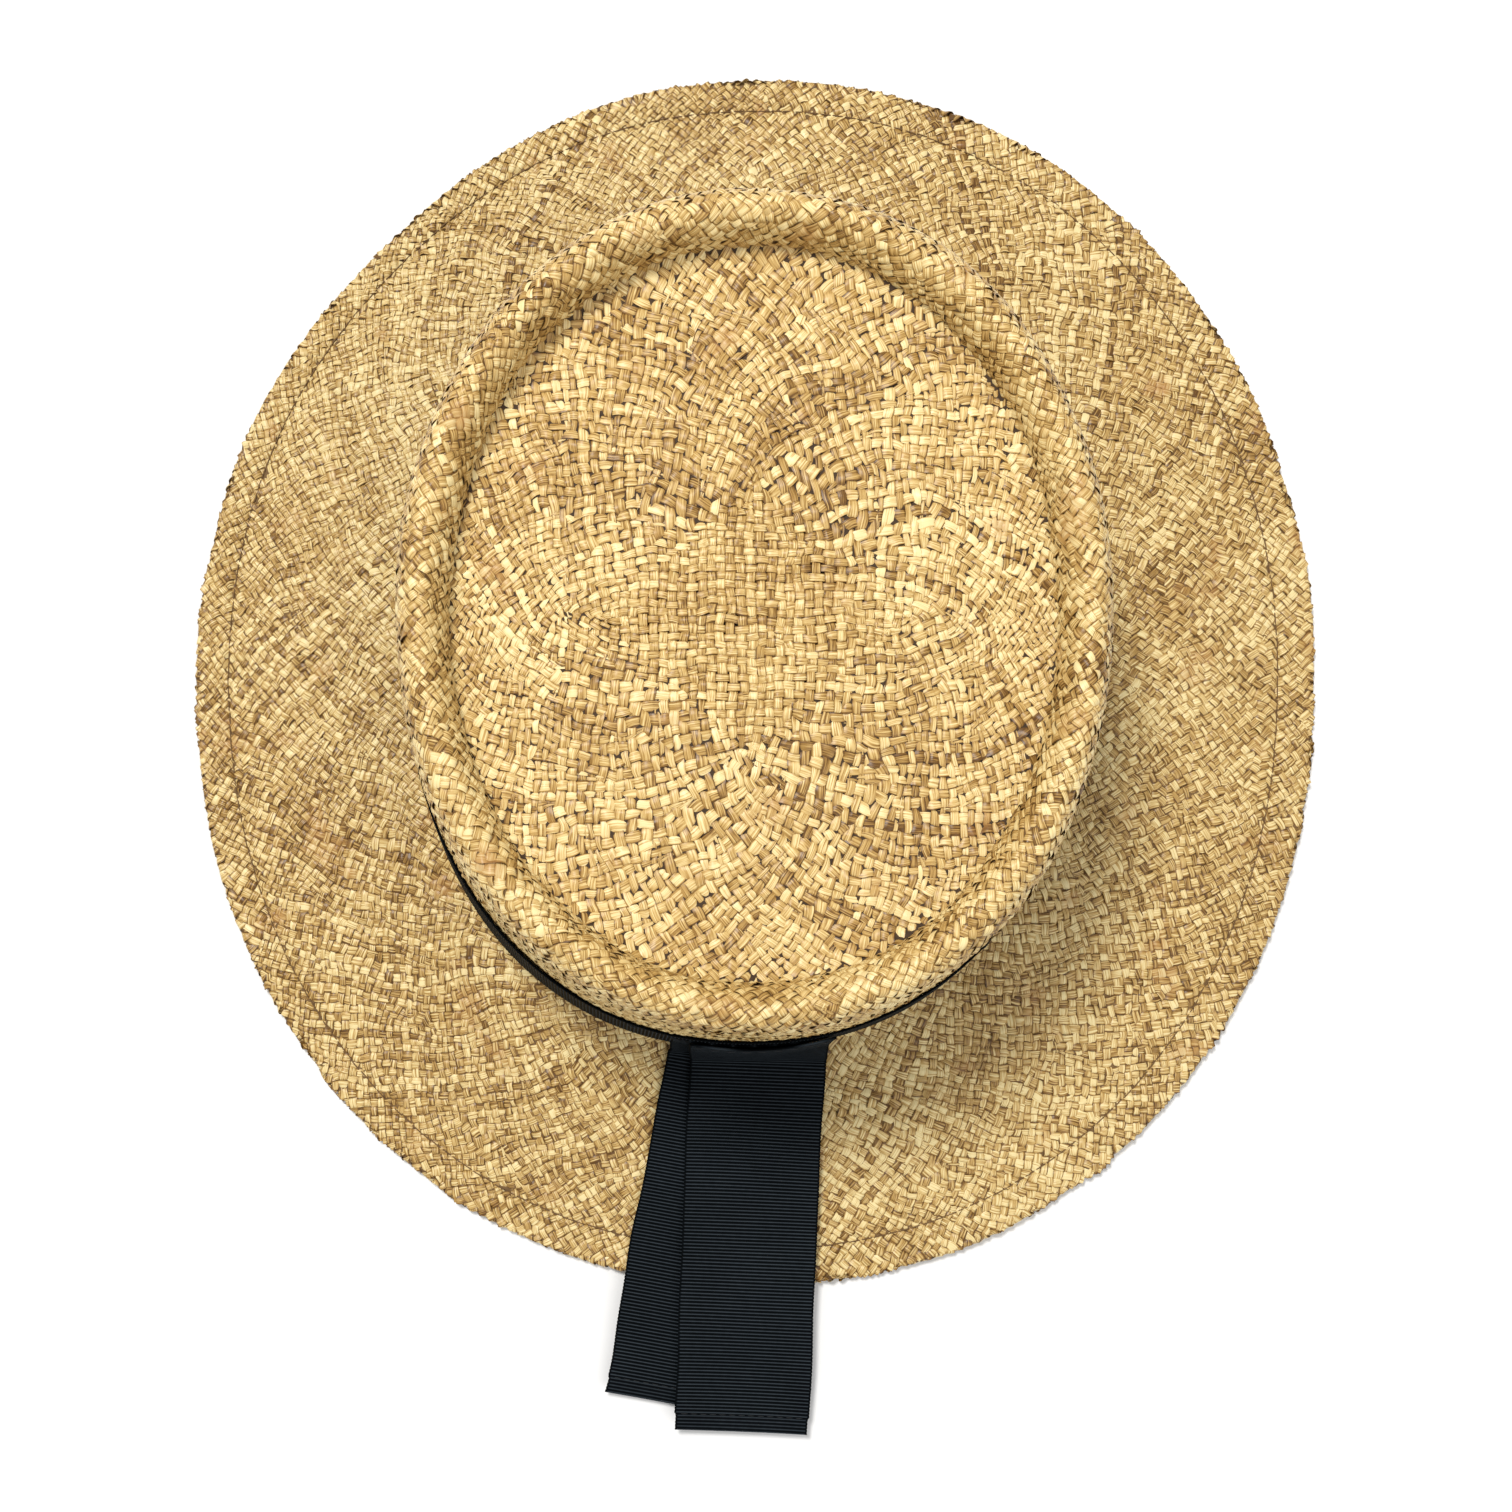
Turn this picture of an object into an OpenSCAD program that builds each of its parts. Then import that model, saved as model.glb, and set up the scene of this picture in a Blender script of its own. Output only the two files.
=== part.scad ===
// Straw sun hat with a flat recessed crown, a ridge round the crown's top and a long-tailed ribbon band.
// The hat stands on its brim: +Z is up, -Y is the front and the ribbon tails lie over the back of the brim.
// The origin is the centre of the head opening, on the surface that the hat stands on.

/* [Crown] */
// Width of the crown's base, over the straw
crown_w = 174; // [168:1:182]
// Length of the crown's base, over the straw
crown_l = 204; // [198:1:212]
// Fullness of the crown's oval, where 2 is an ellipse
crown_full = 2.2; // [2:0.05:2.4]
// Height at which the ridge starts to roll over
ridge_z = 80; // [70:1:90]
// How far the side leans in between its base and the ridge
side_lean = 5.45; // [3:0.05:8]
// Width of the ridge, seen from above
ridge_w = 12.6; // [9:0.1:14]
// Height of the ridge's crest above its start
ridge_h = 10.5; // [8:0.1:13]
// Height of the tip's middle above its crease
tip_dome = 3; // [1:0.1:5]
// Fullness of the oval at the crown's top, where 2 is an ellipse
top_full = 2.08; // [2:0.01:2.3]
// Sideways offset of the crown's top from its base
top_dx = 0.5; // [-2:0.1:2]
// Backward offset of the crown's top from its base
top_dy = -0.9; // [-2:0.1:2]

/* [Brim] */
// Width of the brim, side to side
brim_w = 305; // [295:1:320]
// Length of the brim, front to back
brim_l = 330.5; // [320:0.5:345]
// Fullness of the brim's oval, where 2 is an ellipse
brim_full = 2.08; // [2:0.01:2.3]
// Sideways offset of the brim's middle from the crown's
brim_dx = -3.9; // [-6:0.1:6]
// Backward offset of the brim's middle from the crown's
brim_dy = 2.3; // [-6:0.1:6]
// Depth of the flattened stretch of the brim's front corner
brim_flat = 5.5; // [0:0.1:7]
// Height of the brim's top where it meets the crown
brim_rise = 10; // [8:0.1:14]
// Width of the turned-under hem
hem_w = 10; // [8:0.5:14]

/* [Straw and ribbon] */
// Thickness of the woven straw
straw_t = 1.6; // [1.2:0.1:2]
// Width of the grosgrain ribbon
ribbon_w = 36; // [30:1:38]
// Thickness of the ribbon
ribbon_t = 0.6; // [0.4:0.1:0.8]
// Angle of the lower tail from straight back
lower_angle = 10.4; // [6:0.1:13]
// Angle of the upper tail from straight back
upper_angle = 2.3; // [1:0.1:4]
// Length of the lower tail from its bend
lower_len = 99; // [90:0.5:101]
// Length of the upper tail from its bend
upper_len = 102.5; // [102:0.5:108]
// Width of the turned end of each tail
tail_hem = 5.5; // [4:0.5:8]

/* [Sweatband] */
// Height of the sweatband
sweat_h = 32; // [25:1:36]
// Thickness of the sweatband
sweat_t = 1; // [0.8:0.1:1.2]
// Length of one hem stitch
stitch_l = 4; // [3:0.5:5]

/* [Hidden] */

straw = [0.80, 0.67, 0.44];
dark_straw = [0.70, 0.55, 0.32];
thread = [0.42, 0.29, 0.14];
black = [0.10, 0.12, 0.14];
cotton = [0.88, 0.83, 0.72];
stitch_grey = [0.16, 0.18, 0.20];

facets = 72;                      // sides of every oval
gap = 0.15;                       // ribbon to straw
clear = 0.5;                      // moving tail to what it lies on
flat_at = 310;                    // direction of the flattened stretch of the brim
flat_spread = 25;                 // half its angle
fillet = 3;                       // brim break, on the top side
break_u = 0.046;                  // where the brim break ends
wall_z = brim_rise + fillet;      // where the side starts
ridge_s = -side_lean - ridge_w / 2;
crease_s = -side_lean - ridge_w;
hem_z = 2 * straw_t;              // top of the doubled edge
brim_sx = brim_w / 2 - crown_w / 2;
brim_sy = brim_l / 2 - crown_l / 2;
hem_u = 1 - hem_w / brim_sy;      // where the hem's inner edge is, from crown 0 to edge 1
band_z = wall_z + 0.5;
band_top = band_z + ribbon_w;
bend_y = crown_l / 2 + gap + ribbon_t + 1.9;   // where the tails bend out over the brim
lower_x = 1.4;                    // middle of the lower tail at its bend
upper_x = -4;                     // middle of the upper tail at its bend
lean = atan(side_lean / (ridge_z - wall_z));
back_lean = atan((side_lean - top_dy) / (ridge_z - wall_z));
thread_w = 0.4;
thread_h = 0.2;
thread_gap = 0.05;                // stitch to what it lies on
stitch_u = hem_u + 0.01;          // hem stitches, just outside the hem's inner edge
sweat_z = 9;
sweat_s = -straw_t - 0.9;         // outer face of the sweatband
reed_r = 0.65;

// ---- Ovals ----
function signed_pow(v, p) = sign(v) * pow(abs(v), p);
function turn(a) = let (d = abs(a % 360)) min(d, 360 - d);
function flatten(u, t) = brim_flat * u * u * exp(-pow(turn(t - flat_at) / flat_spread, 2));
function oval(a, b, n, cx, cy, z, u = 0) =
    [for (i = [0:facets - 1])
        let (t = 360 * i / facets,
             x = a * signed_pow(cos(t), 2 / n),
             y = b * signed_pow(sin(t), 2 / n),
             k = 1 - flatten(u, atan2(y, x) + 360) / norm([x, y]))
        [cx + x * k, cy + y * k, z]];
// How far height z is up the crown's side, from 0 at its foot to 1 just below the ridge
function up(z) = max(0, min(1, (z - wall_z) / (ridge_z - straw_t - wall_z)));
function full_at(z) = crown_full + (top_full - crown_full) * up(z);
// A ring at distance s out from the foot of the crown's side
function crown_ring(s, z) =
    oval(crown_w / 2 + s, crown_l / 2 + s, full_at(z), top_dx * up(z), top_dy * up(z), z);
// A ring inside the crease, k of its size
function tip_ring(k, z) =
    oval(k * (crown_w / 2 + crease_s), k * (crown_l / 2 + crease_s), top_full, top_dx, top_dy, z);
// A ring on the brim, from the crown at u = 0 to the edge at u = 1
function brim_ring(u, z, inset = 0) =
    oval(crown_w / 2 + u * brim_sx - inset, crown_l / 2 + u * brim_sy - inset,
         crown_full + (brim_full - crown_full) * u, u * brim_dx, u * brim_dy, z, u);
function side_s(z) = -side_lean * (z - wall_z) / (ridge_z - wall_z);
function brim_top(u) =
    let (v = max(0, 1 - (u - break_u * (1 - u)) / hem_u)) hem_z + (brim_rise - hem_z) * pow(v, 1.35);
function brim_u(y) = (y - crown_l / 2) / (brim_sy + brim_dy);

// ---- Lofts ----
// Closed tube whose section is the list of rings
module ring_loft(rings) {
    n = len(rings);
    polyhedron(points = [for (r = rings) each r],
               faces = [for (j = [0:n - 1], i = [0:facets - 1])
                   let (p = j * facets, q = ((j + 1) % n) * facets, k = (i + 1) % facets)
                   each [[p + i, p + k, q + k], [p + i, q + k, q + i]]]);
}
// Closed shell whose first and last rings are capped
module capped_loft(rings) {
    n = len(rings);
    polyhedron(points = [for (r = rings) each r],
               faces = [each [for (j = [0:n - 2], i = [0:facets - 1])
                            let (p = j * facets, q = p + facets, k = (i + 1) % facets)
                            each [[p + i, p + k, q + k], [p + i, q + k, q + i]]],
                        [for (i = [0:facets - 1]) facets - 1 - i],
                        [for (i = [0:facets - 1]) (n - 1) * facets + i]]);
}
// Places children on an oval at distance s out and height z, with +Y pointing outwards
module on_crown(s, t, z) {
    a = crown_w / 2 + s;
    b = crown_l / 2 + s;
    n = full_at(z);
    x = a * signed_pow(cos(t), 2 / n);
    y = b * signed_pow(sin(t), 2 / n);
    nx = signed_pow(x / a, n - 1) / a;
    ny = signed_pow(y / b, n - 1) / b;
    translate([x + top_dx * up(z), y + top_dy * up(z), z])
        rotate([0, 0, atan2(ny, nx) - 90]) children();
}

// ---- Straw body ----
tip_steps = [1, 0.985, 0.96, 0.93, 0.85, 0.7, 0.5, 0.25, 0.03];
crease_k = 0.94;                  // where the crease is deepest, as a share of the tip
crease_drop = 1.6;
function tip_z(k) =
    let (out = max(0, (k - crease_k) / (1 - crease_k)), dome = 1 - pow(min(1, k / crease_k), 2))
    ridge_z - crease_drop * (1 - out * out) + tip_dome * dome * dome;

module crown_tip() {
    color(straw) capped_loft([
        each [for (i = [0:len(tip_steps) - 1])
            let (k = tip_steps[len(tip_steps) - 1 - i]) tip_ring(k, tip_z(k) - straw_t)],
        each [for (k = tip_steps) tip_ring(k, tip_z(k))]]);
}

module crown_ridge() {
    steps = 10;
    function roll(w, h, z0) =
        [for (i = [0:steps]) let (t = 180 * i / steps) [ridge_s + w * cos(t), z0 + h * sin(t)]];
    outer = roll(ridge_w / 2, ridge_h, ridge_z);
    inner = roll(ridge_w / 2 - straw_t, ridge_h - straw_t, ridge_z);
    section = [each outer, [crease_s, ridge_z - straw_t], [crease_s + straw_t, ridge_z - straw_t],
               each [for (i = [0:steps]) inner[steps - i]]];
    color(straw) ring_loft([for (p = section) crown_ring(p[0], p[1])]);
}

module crown_wall() {
    heights = [wall_z, 30, 55, ridge_z];
    color(straw) ring_loft([
        each [for (z = heights) crown_ring(side_s(z), z)],
        each [for (i = [0:3]) let (z = heights[3 - i]) crown_ring(side_s(z) - straw_t, z)]]);
}

module brim() {
    turns = [0, 30, 60, 90];
    us = [0.12, 0.3, 0.5, 0.7, hem_u, 1];
    top = [each [for (a = turns) crown_ring(fillet * (1 - cos(a)), wall_z - fillet * sin(a))],
           each [for (u = us) brim_ring(u, brim_top(u))]];
    reach = fillet + straw_t;
    under = [each [for (a = turns) crown_ring(fillet - reach * cos(a), wall_z - reach * sin(a))],
             each [for (u = us) brim_ring(u, brim_top(u) - straw_t)]];
    n = len(top);
    color(straw) ring_loft([each [for (i = [0:n - 1]) top[n - 1 - i]], each under]);
}

module brim_hem() {
    function flat(ring) = [for (p = ring) [p[0], p[1]]];
    color(dark_straw) linear_extrude(height = straw_t) difference() {
        polygon(flat(brim_ring(1, 0)));
        polygon(flat(brim_ring(1, 0, hem_w)));
    }
}

module hem_stitching() {
    line = brim_ring(stitch_u, hem_z + thread_gap);
    for (i = [0:facets - 1])
        let (p = line[i], q = line[(i + 1) % facets], run = norm(q - p),
             count = max(2, round(run / (1.6 * stitch_l))))
        for (j = [0:count - 1])
            let (c = p + (q - p) * (j + 0.5) / count)
            color(thread) translate(c) rotate([0, 0, atan2(q[1] - p[1], q[0] - p[0])])
                translate([-stitch_l / 2, -thread_w / 2, 0]) cube([stitch_l, thread_w, thread_h]);
}

// ---- Ribbon ----
module hat_band() {
    color(black) ring_loft([
        crown_ring(side_s(band_z) + gap, band_z),
        crown_ring(side_s(band_z) + gap + ribbon_t, band_z),
        crown_ring(side_s(band_top) + gap + ribbon_t, band_top),
        crown_ring(side_s(band_top) + gap, band_top)]);
}

// One short thread of length l, lying along X with its back on the XZ plane
module tack(l) translate([-l / 2, 0, 0]) cube([l, thread_w, thread_w]);

module band_tacks() {
    z = band_top - 3;
    for (t = [12:60:312])
        color(black) on_crown(side_s(z) + gap + ribbon_t, t, z) translate([0, 0.1, 0]) tack(3);
}

// Places children on the band's back, with Z up its slope; layer 0 lies on the band
module on_band(x, layer)
    translate([x, crown_l / 2 + gap + ribbon_t + 0.1 + layer * (ribbon_t + 0.1), band_z])
        rotate([back_lean, 0, 0]) children();
// Upright layer of a tail, against the band
module root(x, layer)
    on_band(x, layer) translate([-ribbon_w / 2, 0, 0]) cube([ribbon_w, ribbon_t, ribbon_w - 1]);
module tail_lower_root() color(black) root(lower_x, 0);
module tail_upper_root() color(black) root(upper_x, 1);
module tail_root_stitching() {
    for (i = [-3.5:3.5])
        color(black) on_band(upper_x + 4 * i, 2) translate([0, 0, ribbon_w - 4]) tack(2.4);
}

// Height of a tail's underside at y, measured back from the bend, when it lies on the brim
function lie_z(y, lift) =
    let (back = bend_y + y, past = max(0, back - (brim_l / 2 + brim_dy - 6)))
    brim_top(brim_u(back)) + lift - droop * pow(past / 40, 1.5);
// Side outline of a tail, from just behind the bend to beyond its end
function strap_outline(lift) =
    let (under = [for (y = [1:(strap_reach - 1) / strap_steps:strap_reach + 0.01]) [y, lie_z(y, lift)]],
         n = len(under))
    [each under, each [for (i = [0:n - 1]) under[n - 1 - i] + [0, ribbon_t]]];
// The stretch of a slanting strap between two distances from the bend, at the brim's slope
module strap(x, angle, width, from, to, lift)
    intersection() {
        translate([-strap_reach / 2, bend_y, 0]) rotate([90, 0, 90])
            linear_extrude(height = strap_reach) polygon(strap_outline(lift));
        translate([x, bend_y, 0]) rotate([0, 0, -angle])
            translate([-width / 2, from, -strap_reach / 2]) cube([width, to - from, strap_reach]);
    }
module end_stitches(x, angle, length, lift) {
    end_stitch_l = 2.2;
    pitch = 3.6;
    y = length - tail_hem + 0.8;
    for (i = [-4:4])
        let (u = i * pitch, back = y * cos(angle) - u * sin(angle))
        color(stitch_grey)
            translate([x + y * sin(angle) + u * cos(angle), bend_y + back,
                       lie_z(back, lift) + ribbon_t + 2 * thread_gap])
                rotate([0, 0, -angle])
                    translate([-end_stitch_l / 2, 0, 0]) cube([end_stitch_l, thread_w, thread_h]);
}

lower_lift = clear;
upper_lift = clear + 2 * ribbon_t + 0.5;
droop = 1.4;                      // how far a tail's end hangs below its slope, at 40 past the edge
strap_reach = 112;                // longer than either tail
strap_steps = 14;
before_bend = -10;                // far enough back to leave a tail's start square to the bend
turned_w = ribbon_w - 2;

module tail_lower() color(black)
    strap(lower_x, lower_angle, ribbon_w, before_bend, lower_len, lower_lift);
module tail_lower_hem() color(black)
    strap(lower_x, lower_angle, turned_w, lower_len - tail_hem, lower_len, lower_lift - ribbon_t);
module tail_lower_stitching() end_stitches(lower_x, lower_angle, lower_len, lower_lift);

module tail_upper() color(black)
    strap(upper_x, upper_angle, ribbon_w, before_bend, upper_len, upper_lift);
module tail_upper_hem() color(black)
    strap(upper_x, upper_angle, turned_w, upper_len - tail_hem, upper_len, upper_lift - ribbon_t);
module tail_upper_stitching() end_stitches(upper_x, upper_angle, upper_len, upper_lift);

// ---- Inside the crown ----
function sweat_side(z) = sweat_s + min(0, side_s(z));
module sweatband() {
    top = sweat_z + sweat_h;
    color(cotton) ring_loft([
        crown_ring(sweat_side(sweat_z) - sweat_t, sweat_z),
        crown_ring(sweat_side(sweat_z), sweat_z),
        crown_ring(sweat_side(wall_z), wall_z),
        crown_ring(sweat_side(top), top),
        crown_ring(sweat_side(top) - sweat_t, top),
        crown_ring(sweat_side(wall_z) - sweat_t, wall_z)]);
}
module sweatband_reed() {
    color(black) ring_loft([for (i = [0:7])
        crown_ring(sweat_s + reed_r + 0.1 + reed_r * cos(45 * i), sweat_z + 1.2 - reed_r * sin(45 * i))]);
}
module sweatband_stitching() {
    for (t = [0:5:355])
        color(thread) on_crown(sweat_side(sweat_z) - sweat_t, t, sweat_z + 2)
            translate([-1.6, -0.4, 0]) cube([3.2, 0.3, 0.35]);
}
module sweatband_bow() {
    z = sweat_z + sweat_h / 2;
    color(black) on_crown(sweat_side(z) - sweat_t, 90, z) {
        for (side = [-1, 1])
            translate([side * 6.5, -0.95, 0]) rotate([90, 0, 0])
                linear_extrude(height = 0.8) difference() {
                    circle(r = 4.5, $fn = 32);
                    circle(r = 3, $fn = 32);
                }
        translate([-1.9, -2.2, -2.2]) cube([3.8, 1.9, 4.4]);
    }
}
module size_label() {
    z = sweat_z + 9;
    label_lean = lean + 2;            // leans in with the sweatband
    color("white") on_crown(sweat_side(z) - sweat_t, 60, z)
        translate([-6, -0.9, 0]) rotate([label_lean, 0, 0]) cube([12, 0.4, 14]);
}

crown_tip();
crown_ridge();
crown_wall();
brim();
brim_hem();
hem_stitching();
hat_band();
band_tacks();
tail_lower_root();
tail_upper_root();
tail_root_stitching();
sweatband();
sweatband_reed();
sweatband_stitching();
sweatband_bow();
size_label();
tail_lower();
tail_lower_hem();
tail_lower_stitching();
tail_upper();
tail_upper_hem();
tail_upper_stitching();
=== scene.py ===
"""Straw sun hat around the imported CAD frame: straw woven strand by strand, ribbon and sweatband."""
import bpy
import math
import numpy as np
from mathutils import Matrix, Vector

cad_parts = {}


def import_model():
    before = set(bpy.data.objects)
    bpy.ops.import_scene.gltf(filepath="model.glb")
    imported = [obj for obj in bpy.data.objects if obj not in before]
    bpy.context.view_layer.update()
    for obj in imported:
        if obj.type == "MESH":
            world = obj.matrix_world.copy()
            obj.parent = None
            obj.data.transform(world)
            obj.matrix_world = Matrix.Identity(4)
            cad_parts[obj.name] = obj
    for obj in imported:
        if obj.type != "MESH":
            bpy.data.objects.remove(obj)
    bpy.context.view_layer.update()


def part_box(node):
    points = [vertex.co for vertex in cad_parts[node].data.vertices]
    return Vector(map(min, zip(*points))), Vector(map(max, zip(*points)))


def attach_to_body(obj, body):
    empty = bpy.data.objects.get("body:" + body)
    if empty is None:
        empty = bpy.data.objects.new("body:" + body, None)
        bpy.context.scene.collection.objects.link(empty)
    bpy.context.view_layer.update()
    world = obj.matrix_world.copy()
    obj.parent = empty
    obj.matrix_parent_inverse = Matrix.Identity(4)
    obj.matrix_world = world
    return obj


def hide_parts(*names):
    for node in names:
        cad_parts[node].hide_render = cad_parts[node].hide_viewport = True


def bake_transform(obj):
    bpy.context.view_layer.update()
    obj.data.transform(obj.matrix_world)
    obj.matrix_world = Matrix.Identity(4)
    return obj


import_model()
MM = 0.001


# ---- dimensions, from the frame
def corners(node):
    lo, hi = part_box(node)
    return np.array(lo), np.array(hi)


side_lo, side_hi = corners("crown_wall")
ridge_lo, ridge_hi = corners("crown_ridge")
tip_lo, tip_hi = corners("crown_tip")
brim_lo, brim_hi = corners("brim")
hem_hi = corners("brim_hem")[1]
band_lo, band_hi = corners("hat_band")
sweat_lo, sweat_hi = corners("sweatband")

CROWN = np.array([side_hi[0], side_hi[1]])  # half width and length at the crown's foot
CROWN_FULL, TOP_FULL = 2.2, 2.08  # fullness of its oval, at the foot and at the top
WALL_Z, RIDGE_Z, CREST_Z = side_lo[2], side_hi[2], ridge_hi[2]
LEAN = CROWN[0] - (ridge_hi[0] - ridge_lo[0]) / 2  # how far the side leans in
TIP = (tip_hi - tip_lo)[:2] / 2  # half size inside the crease
TOP_SHIFT = (tip_hi + tip_lo)[:2] / 2  # the crown's top is a little off its foot's middle
RIDGE_W = (ridge_hi[0] - ridge_lo[0]) / 2 - TIP[0]
BRIM = (brim_hi - brim_lo)[:2] / 2
BRIM_MID = (brim_hi + brim_lo)[:2] / 2
BRIM_FULL = 2.08
FILLET = 3 * MM
BRIM_RISE = WALL_Z - FILLET  # brim's height where it meets the crown
STRAW_T = hem_hi[2]
HEM_TOP = 2 * STRAW_T  # top of the doubled edge
HEM_W = 10 * MM
BRIM_FLAT, FLAT_AT, FLAT_SPREAD = 5.5 * MM, 310, 25
CREASE_K, CREASE_DROP, TIP_DOME = 0.94, 1.6 * MM, 3 * MM
RIBBON_T = 0.6 * MM
RIBBON_W = band_hi[2] - band_lo[2]

AROUND = 768  # samples round each ring
STEP = 0.46 * MM  # spacing of the rings along the straw
SINK = 0.5 * MM  # weave's middle below the straw's outer face


# ---- the hat's surface, as rings
def signed_pow(v, p):
    return np.sign(v) * np.abs(v) ** p


def ring_at(ring, t):
    """Points of a closed ring at the places t round it, counted in its samples."""
    i = np.floor(t).astype(int)
    f = (t - i)[:, None]
    return ring[i % AROUND] * (1 - f) + ring[(i + 1) % AROUND] * f


def outward(xy):
    """Level unit directions out of a closed outline."""
    ahead = np.roll(xy, -1, 0) - np.roll(xy, 1, 0)
    n = np.column_stack([ahead[:, 1], -ahead[:, 0], np.zeros(len(xy))])
    return n / np.linalg.norm(n, axis=1, keepdims=True)


def even(points, count=AROUND):
    """A closed outline resampled at equal steps, from its first point round."""
    loop = np.vstack([points, points[:1]])
    run = np.concatenate([[0], np.cumsum(np.linalg.norm(np.diff(loop, axis=0), axis=1))])
    at = np.arange(count) / count * run[-1]
    return np.stack([np.interp(at, run, loop[:, i]) for i in range(loop.shape[1])], axis=1)


def oval(half, full, mid=(0, 0), u=0.0):
    t = np.linspace(0, 2 * np.pi, 2880, endpoint=False)
    x = half[0] * signed_pow(np.cos(t), 2 / full)
    y = half[1] * signed_pow(np.sin(t), 2 / full)
    away = (np.degrees(np.arctan2(y, x)) - FLAT_AT + 180) % 360 - 180
    k = 1 - BRIM_FLAT * u * u * np.exp(-((away / FLAT_SPREAD) ** 2)) / np.hypot(x, y)
    return even(np.stack([mid[0] + x * k, mid[1] + y * k], axis=1))


def up(z):
    """How far height z is up the crown's side, from 0 at its foot to 1 just below the ridge."""
    return min(1.0, max(0.0, (z - WALL_Z) / (RIDGE_Z - STRAW_T - WALL_Z)))


def crown_ring(s, z):
    k = up(z)
    return oval(CROWN + s, CROWN_FULL + (TOP_FULL - CROWN_FULL) * k, TOP_SHIFT * k)


def brim_ring(u, inset=0.0):
    half = CROWN + u * (BRIM - CROWN) - inset
    return oval(half, CROWN_FULL + (BRIM_FULL - CROWN_FULL) * u, u * BRIM_MID, u)


def tip_height(x, y):
    u, v = (x - TOP_SHIFT[0]) / TIP[0], (y - TOP_SHIFT[1]) / TIP[1]
    k = (np.abs(u) ** TOP_FULL + np.abs(v) ** TOP_FULL) ** (1 / TOP_FULL)
    out = np.maximum(0, (k - CREASE_K) / (1 - CREASE_K))
    dome = 1 - np.minimum(1, k / CREASE_K) ** 2
    return RIDGE_Z - CREASE_DROP * (1 - out * out) + TIP_DOME * dome * dome


def side_s(z):
    return -LEAN * (z - WALL_Z) / (RIDGE_Z - WALL_Z)


EDGE_ROUND = 0.9 * MM  # how far the brim's edge is rounded
UNDER_Z = 0.90 * MM  # hem's underside, so that no strand dips below the rest
HEM_U = 1 - HEM_W / (BRIM[1] - CROWN[1])
STITCH_U = HEM_U + 0.01  # the hem's stitches, and how deep they pull the straw in
STITCH_DIP = 0.40 * MM
STITCH_SPREAD = 0.014
BREAK_U = 0.046  # where the brim leaves the crown's fillet
INNER_U = 0.42  # where the brim's inner pieces end


def brim_top(u):
    v = np.maximum(0, 1 - (u - BREAK_U * (1 - u)) / HEM_U)
    dip = STITCH_DIP * np.exp(-(((u - STITCH_U) / STITCH_SPREAD) ** 2))
    return HEM_TOP + (BRIM_RISE - HEM_TOP) * v**1.35 - dip


CORE = np.array([35.8, 30.7]) * MM  # half diagonals of the straight-woven middle


def diamond(t):
    """The middle's outline, at shares t of its length from +X round."""
    corner = np.array([[1, 0], [0, 1], [-1, 0], [0, -1], [1, 0]]) * CORE
    return np.stack([np.interp(t * 4, np.arange(5), corner[:, i]) for i in range(2)], axis=1)


def surface_rings():
    """Rings of the outer straw surface from the middle's edge to the hem's inner edge, and zone ends."""
    share = np.arange(AROUND) / AROUND
    inner, outer = diamond(share), oval(TIP, TOP_FULL, TOP_SHIFT)
    rings, ends = [], {}

    def add(xy, z):
        z = np.broadcast_to(z, (AROUND,))
        rings.append(np.column_stack([xy, z]))

    across = np.linalg.norm(outer - inner, axis=1).mean()
    for g in np.linspace(0, 1, int(across / STEP)):
        xy = (1 - g) * inner + g * outer
        add(xy, tip_height(xy[:, 0], xy[:, 1]))
    ends["tip"] = len(rings) - 1
    half = RIDGE_W / 2
    high = CREST_Z - RIDGE_Z
    for a in np.linspace(np.pi, 0, int(np.pi * (half + high) / 2 / STEP))[1:]:
        z = RIDGE_Z + high * np.sin(a)
        add(crown_ring(-LEAN - half + half * np.cos(a), z), z)
    ends["ridge"] = len(rings) - 1
    for z in np.linspace(RIDGE_Z, WALL_Z, int((RIDGE_Z - WALL_Z) / STEP))[1:]:
        add(crown_ring(side_s(z), z), z)
    ends["wall"] = len(rings) - 1
    for a in np.linspace(0, np.pi / 2, 10)[1:]:
        z = WALL_Z - FILLET * np.sin(a)
        add(crown_ring(FILLET * (1 - np.cos(a)), z), z)
    reach = BRIM.mean() - CROWN.mean()
    for u in np.linspace(BREAK_U, 1, int(reach / STEP))[1:]:
        add(brim_ring(u, EDGE_ROUND * u**8), brim_top(u))
        if "brim_inner" not in ends and u > INNER_U:
            ends["brim_inner"] = len(rings) - 1
    ends["brim_outer"] = len(rings) - 1
    middle, turn = (HEM_TOP + UNDER_Z) / 2, (HEM_TOP - UNDER_Z) / 2
    for a in np.linspace(np.pi / 2, -np.pi / 2, 11)[1:]:
        add(brim_ring(1, EDGE_ROUND * (1 - np.cos(a))), middle + turn * np.sin(a))
    for inset in np.linspace(EDGE_ROUND, HEM_W, int(HEM_W / STEP))[1:]:
        add(brim_ring(1, inset), UNDER_Z)
    ends["hem"] = len(rings) - 1
    return np.array(rings), ends


rings, zone_end = surface_rings()
ZONES = ["tip", "ridge", "wall", "brim_inner", "brim_outer", "hem"]
zone_start = {"tip": 0, **{after: zone_end[before] for before, after in zip(ZONES, ZONES[1:])}}


def ring_normals(p):
    along = np.gradient(p, axis=0)
    about = np.roll(p, -1, axis=1) - np.roll(p, 1, axis=1)
    n = np.cross(along, about)
    return n / np.maximum(np.linalg.norm(n, axis=2, keepdims=True), 1e-12)


normals = ring_normals(rings)
rings = rings - normals * SINK


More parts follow.
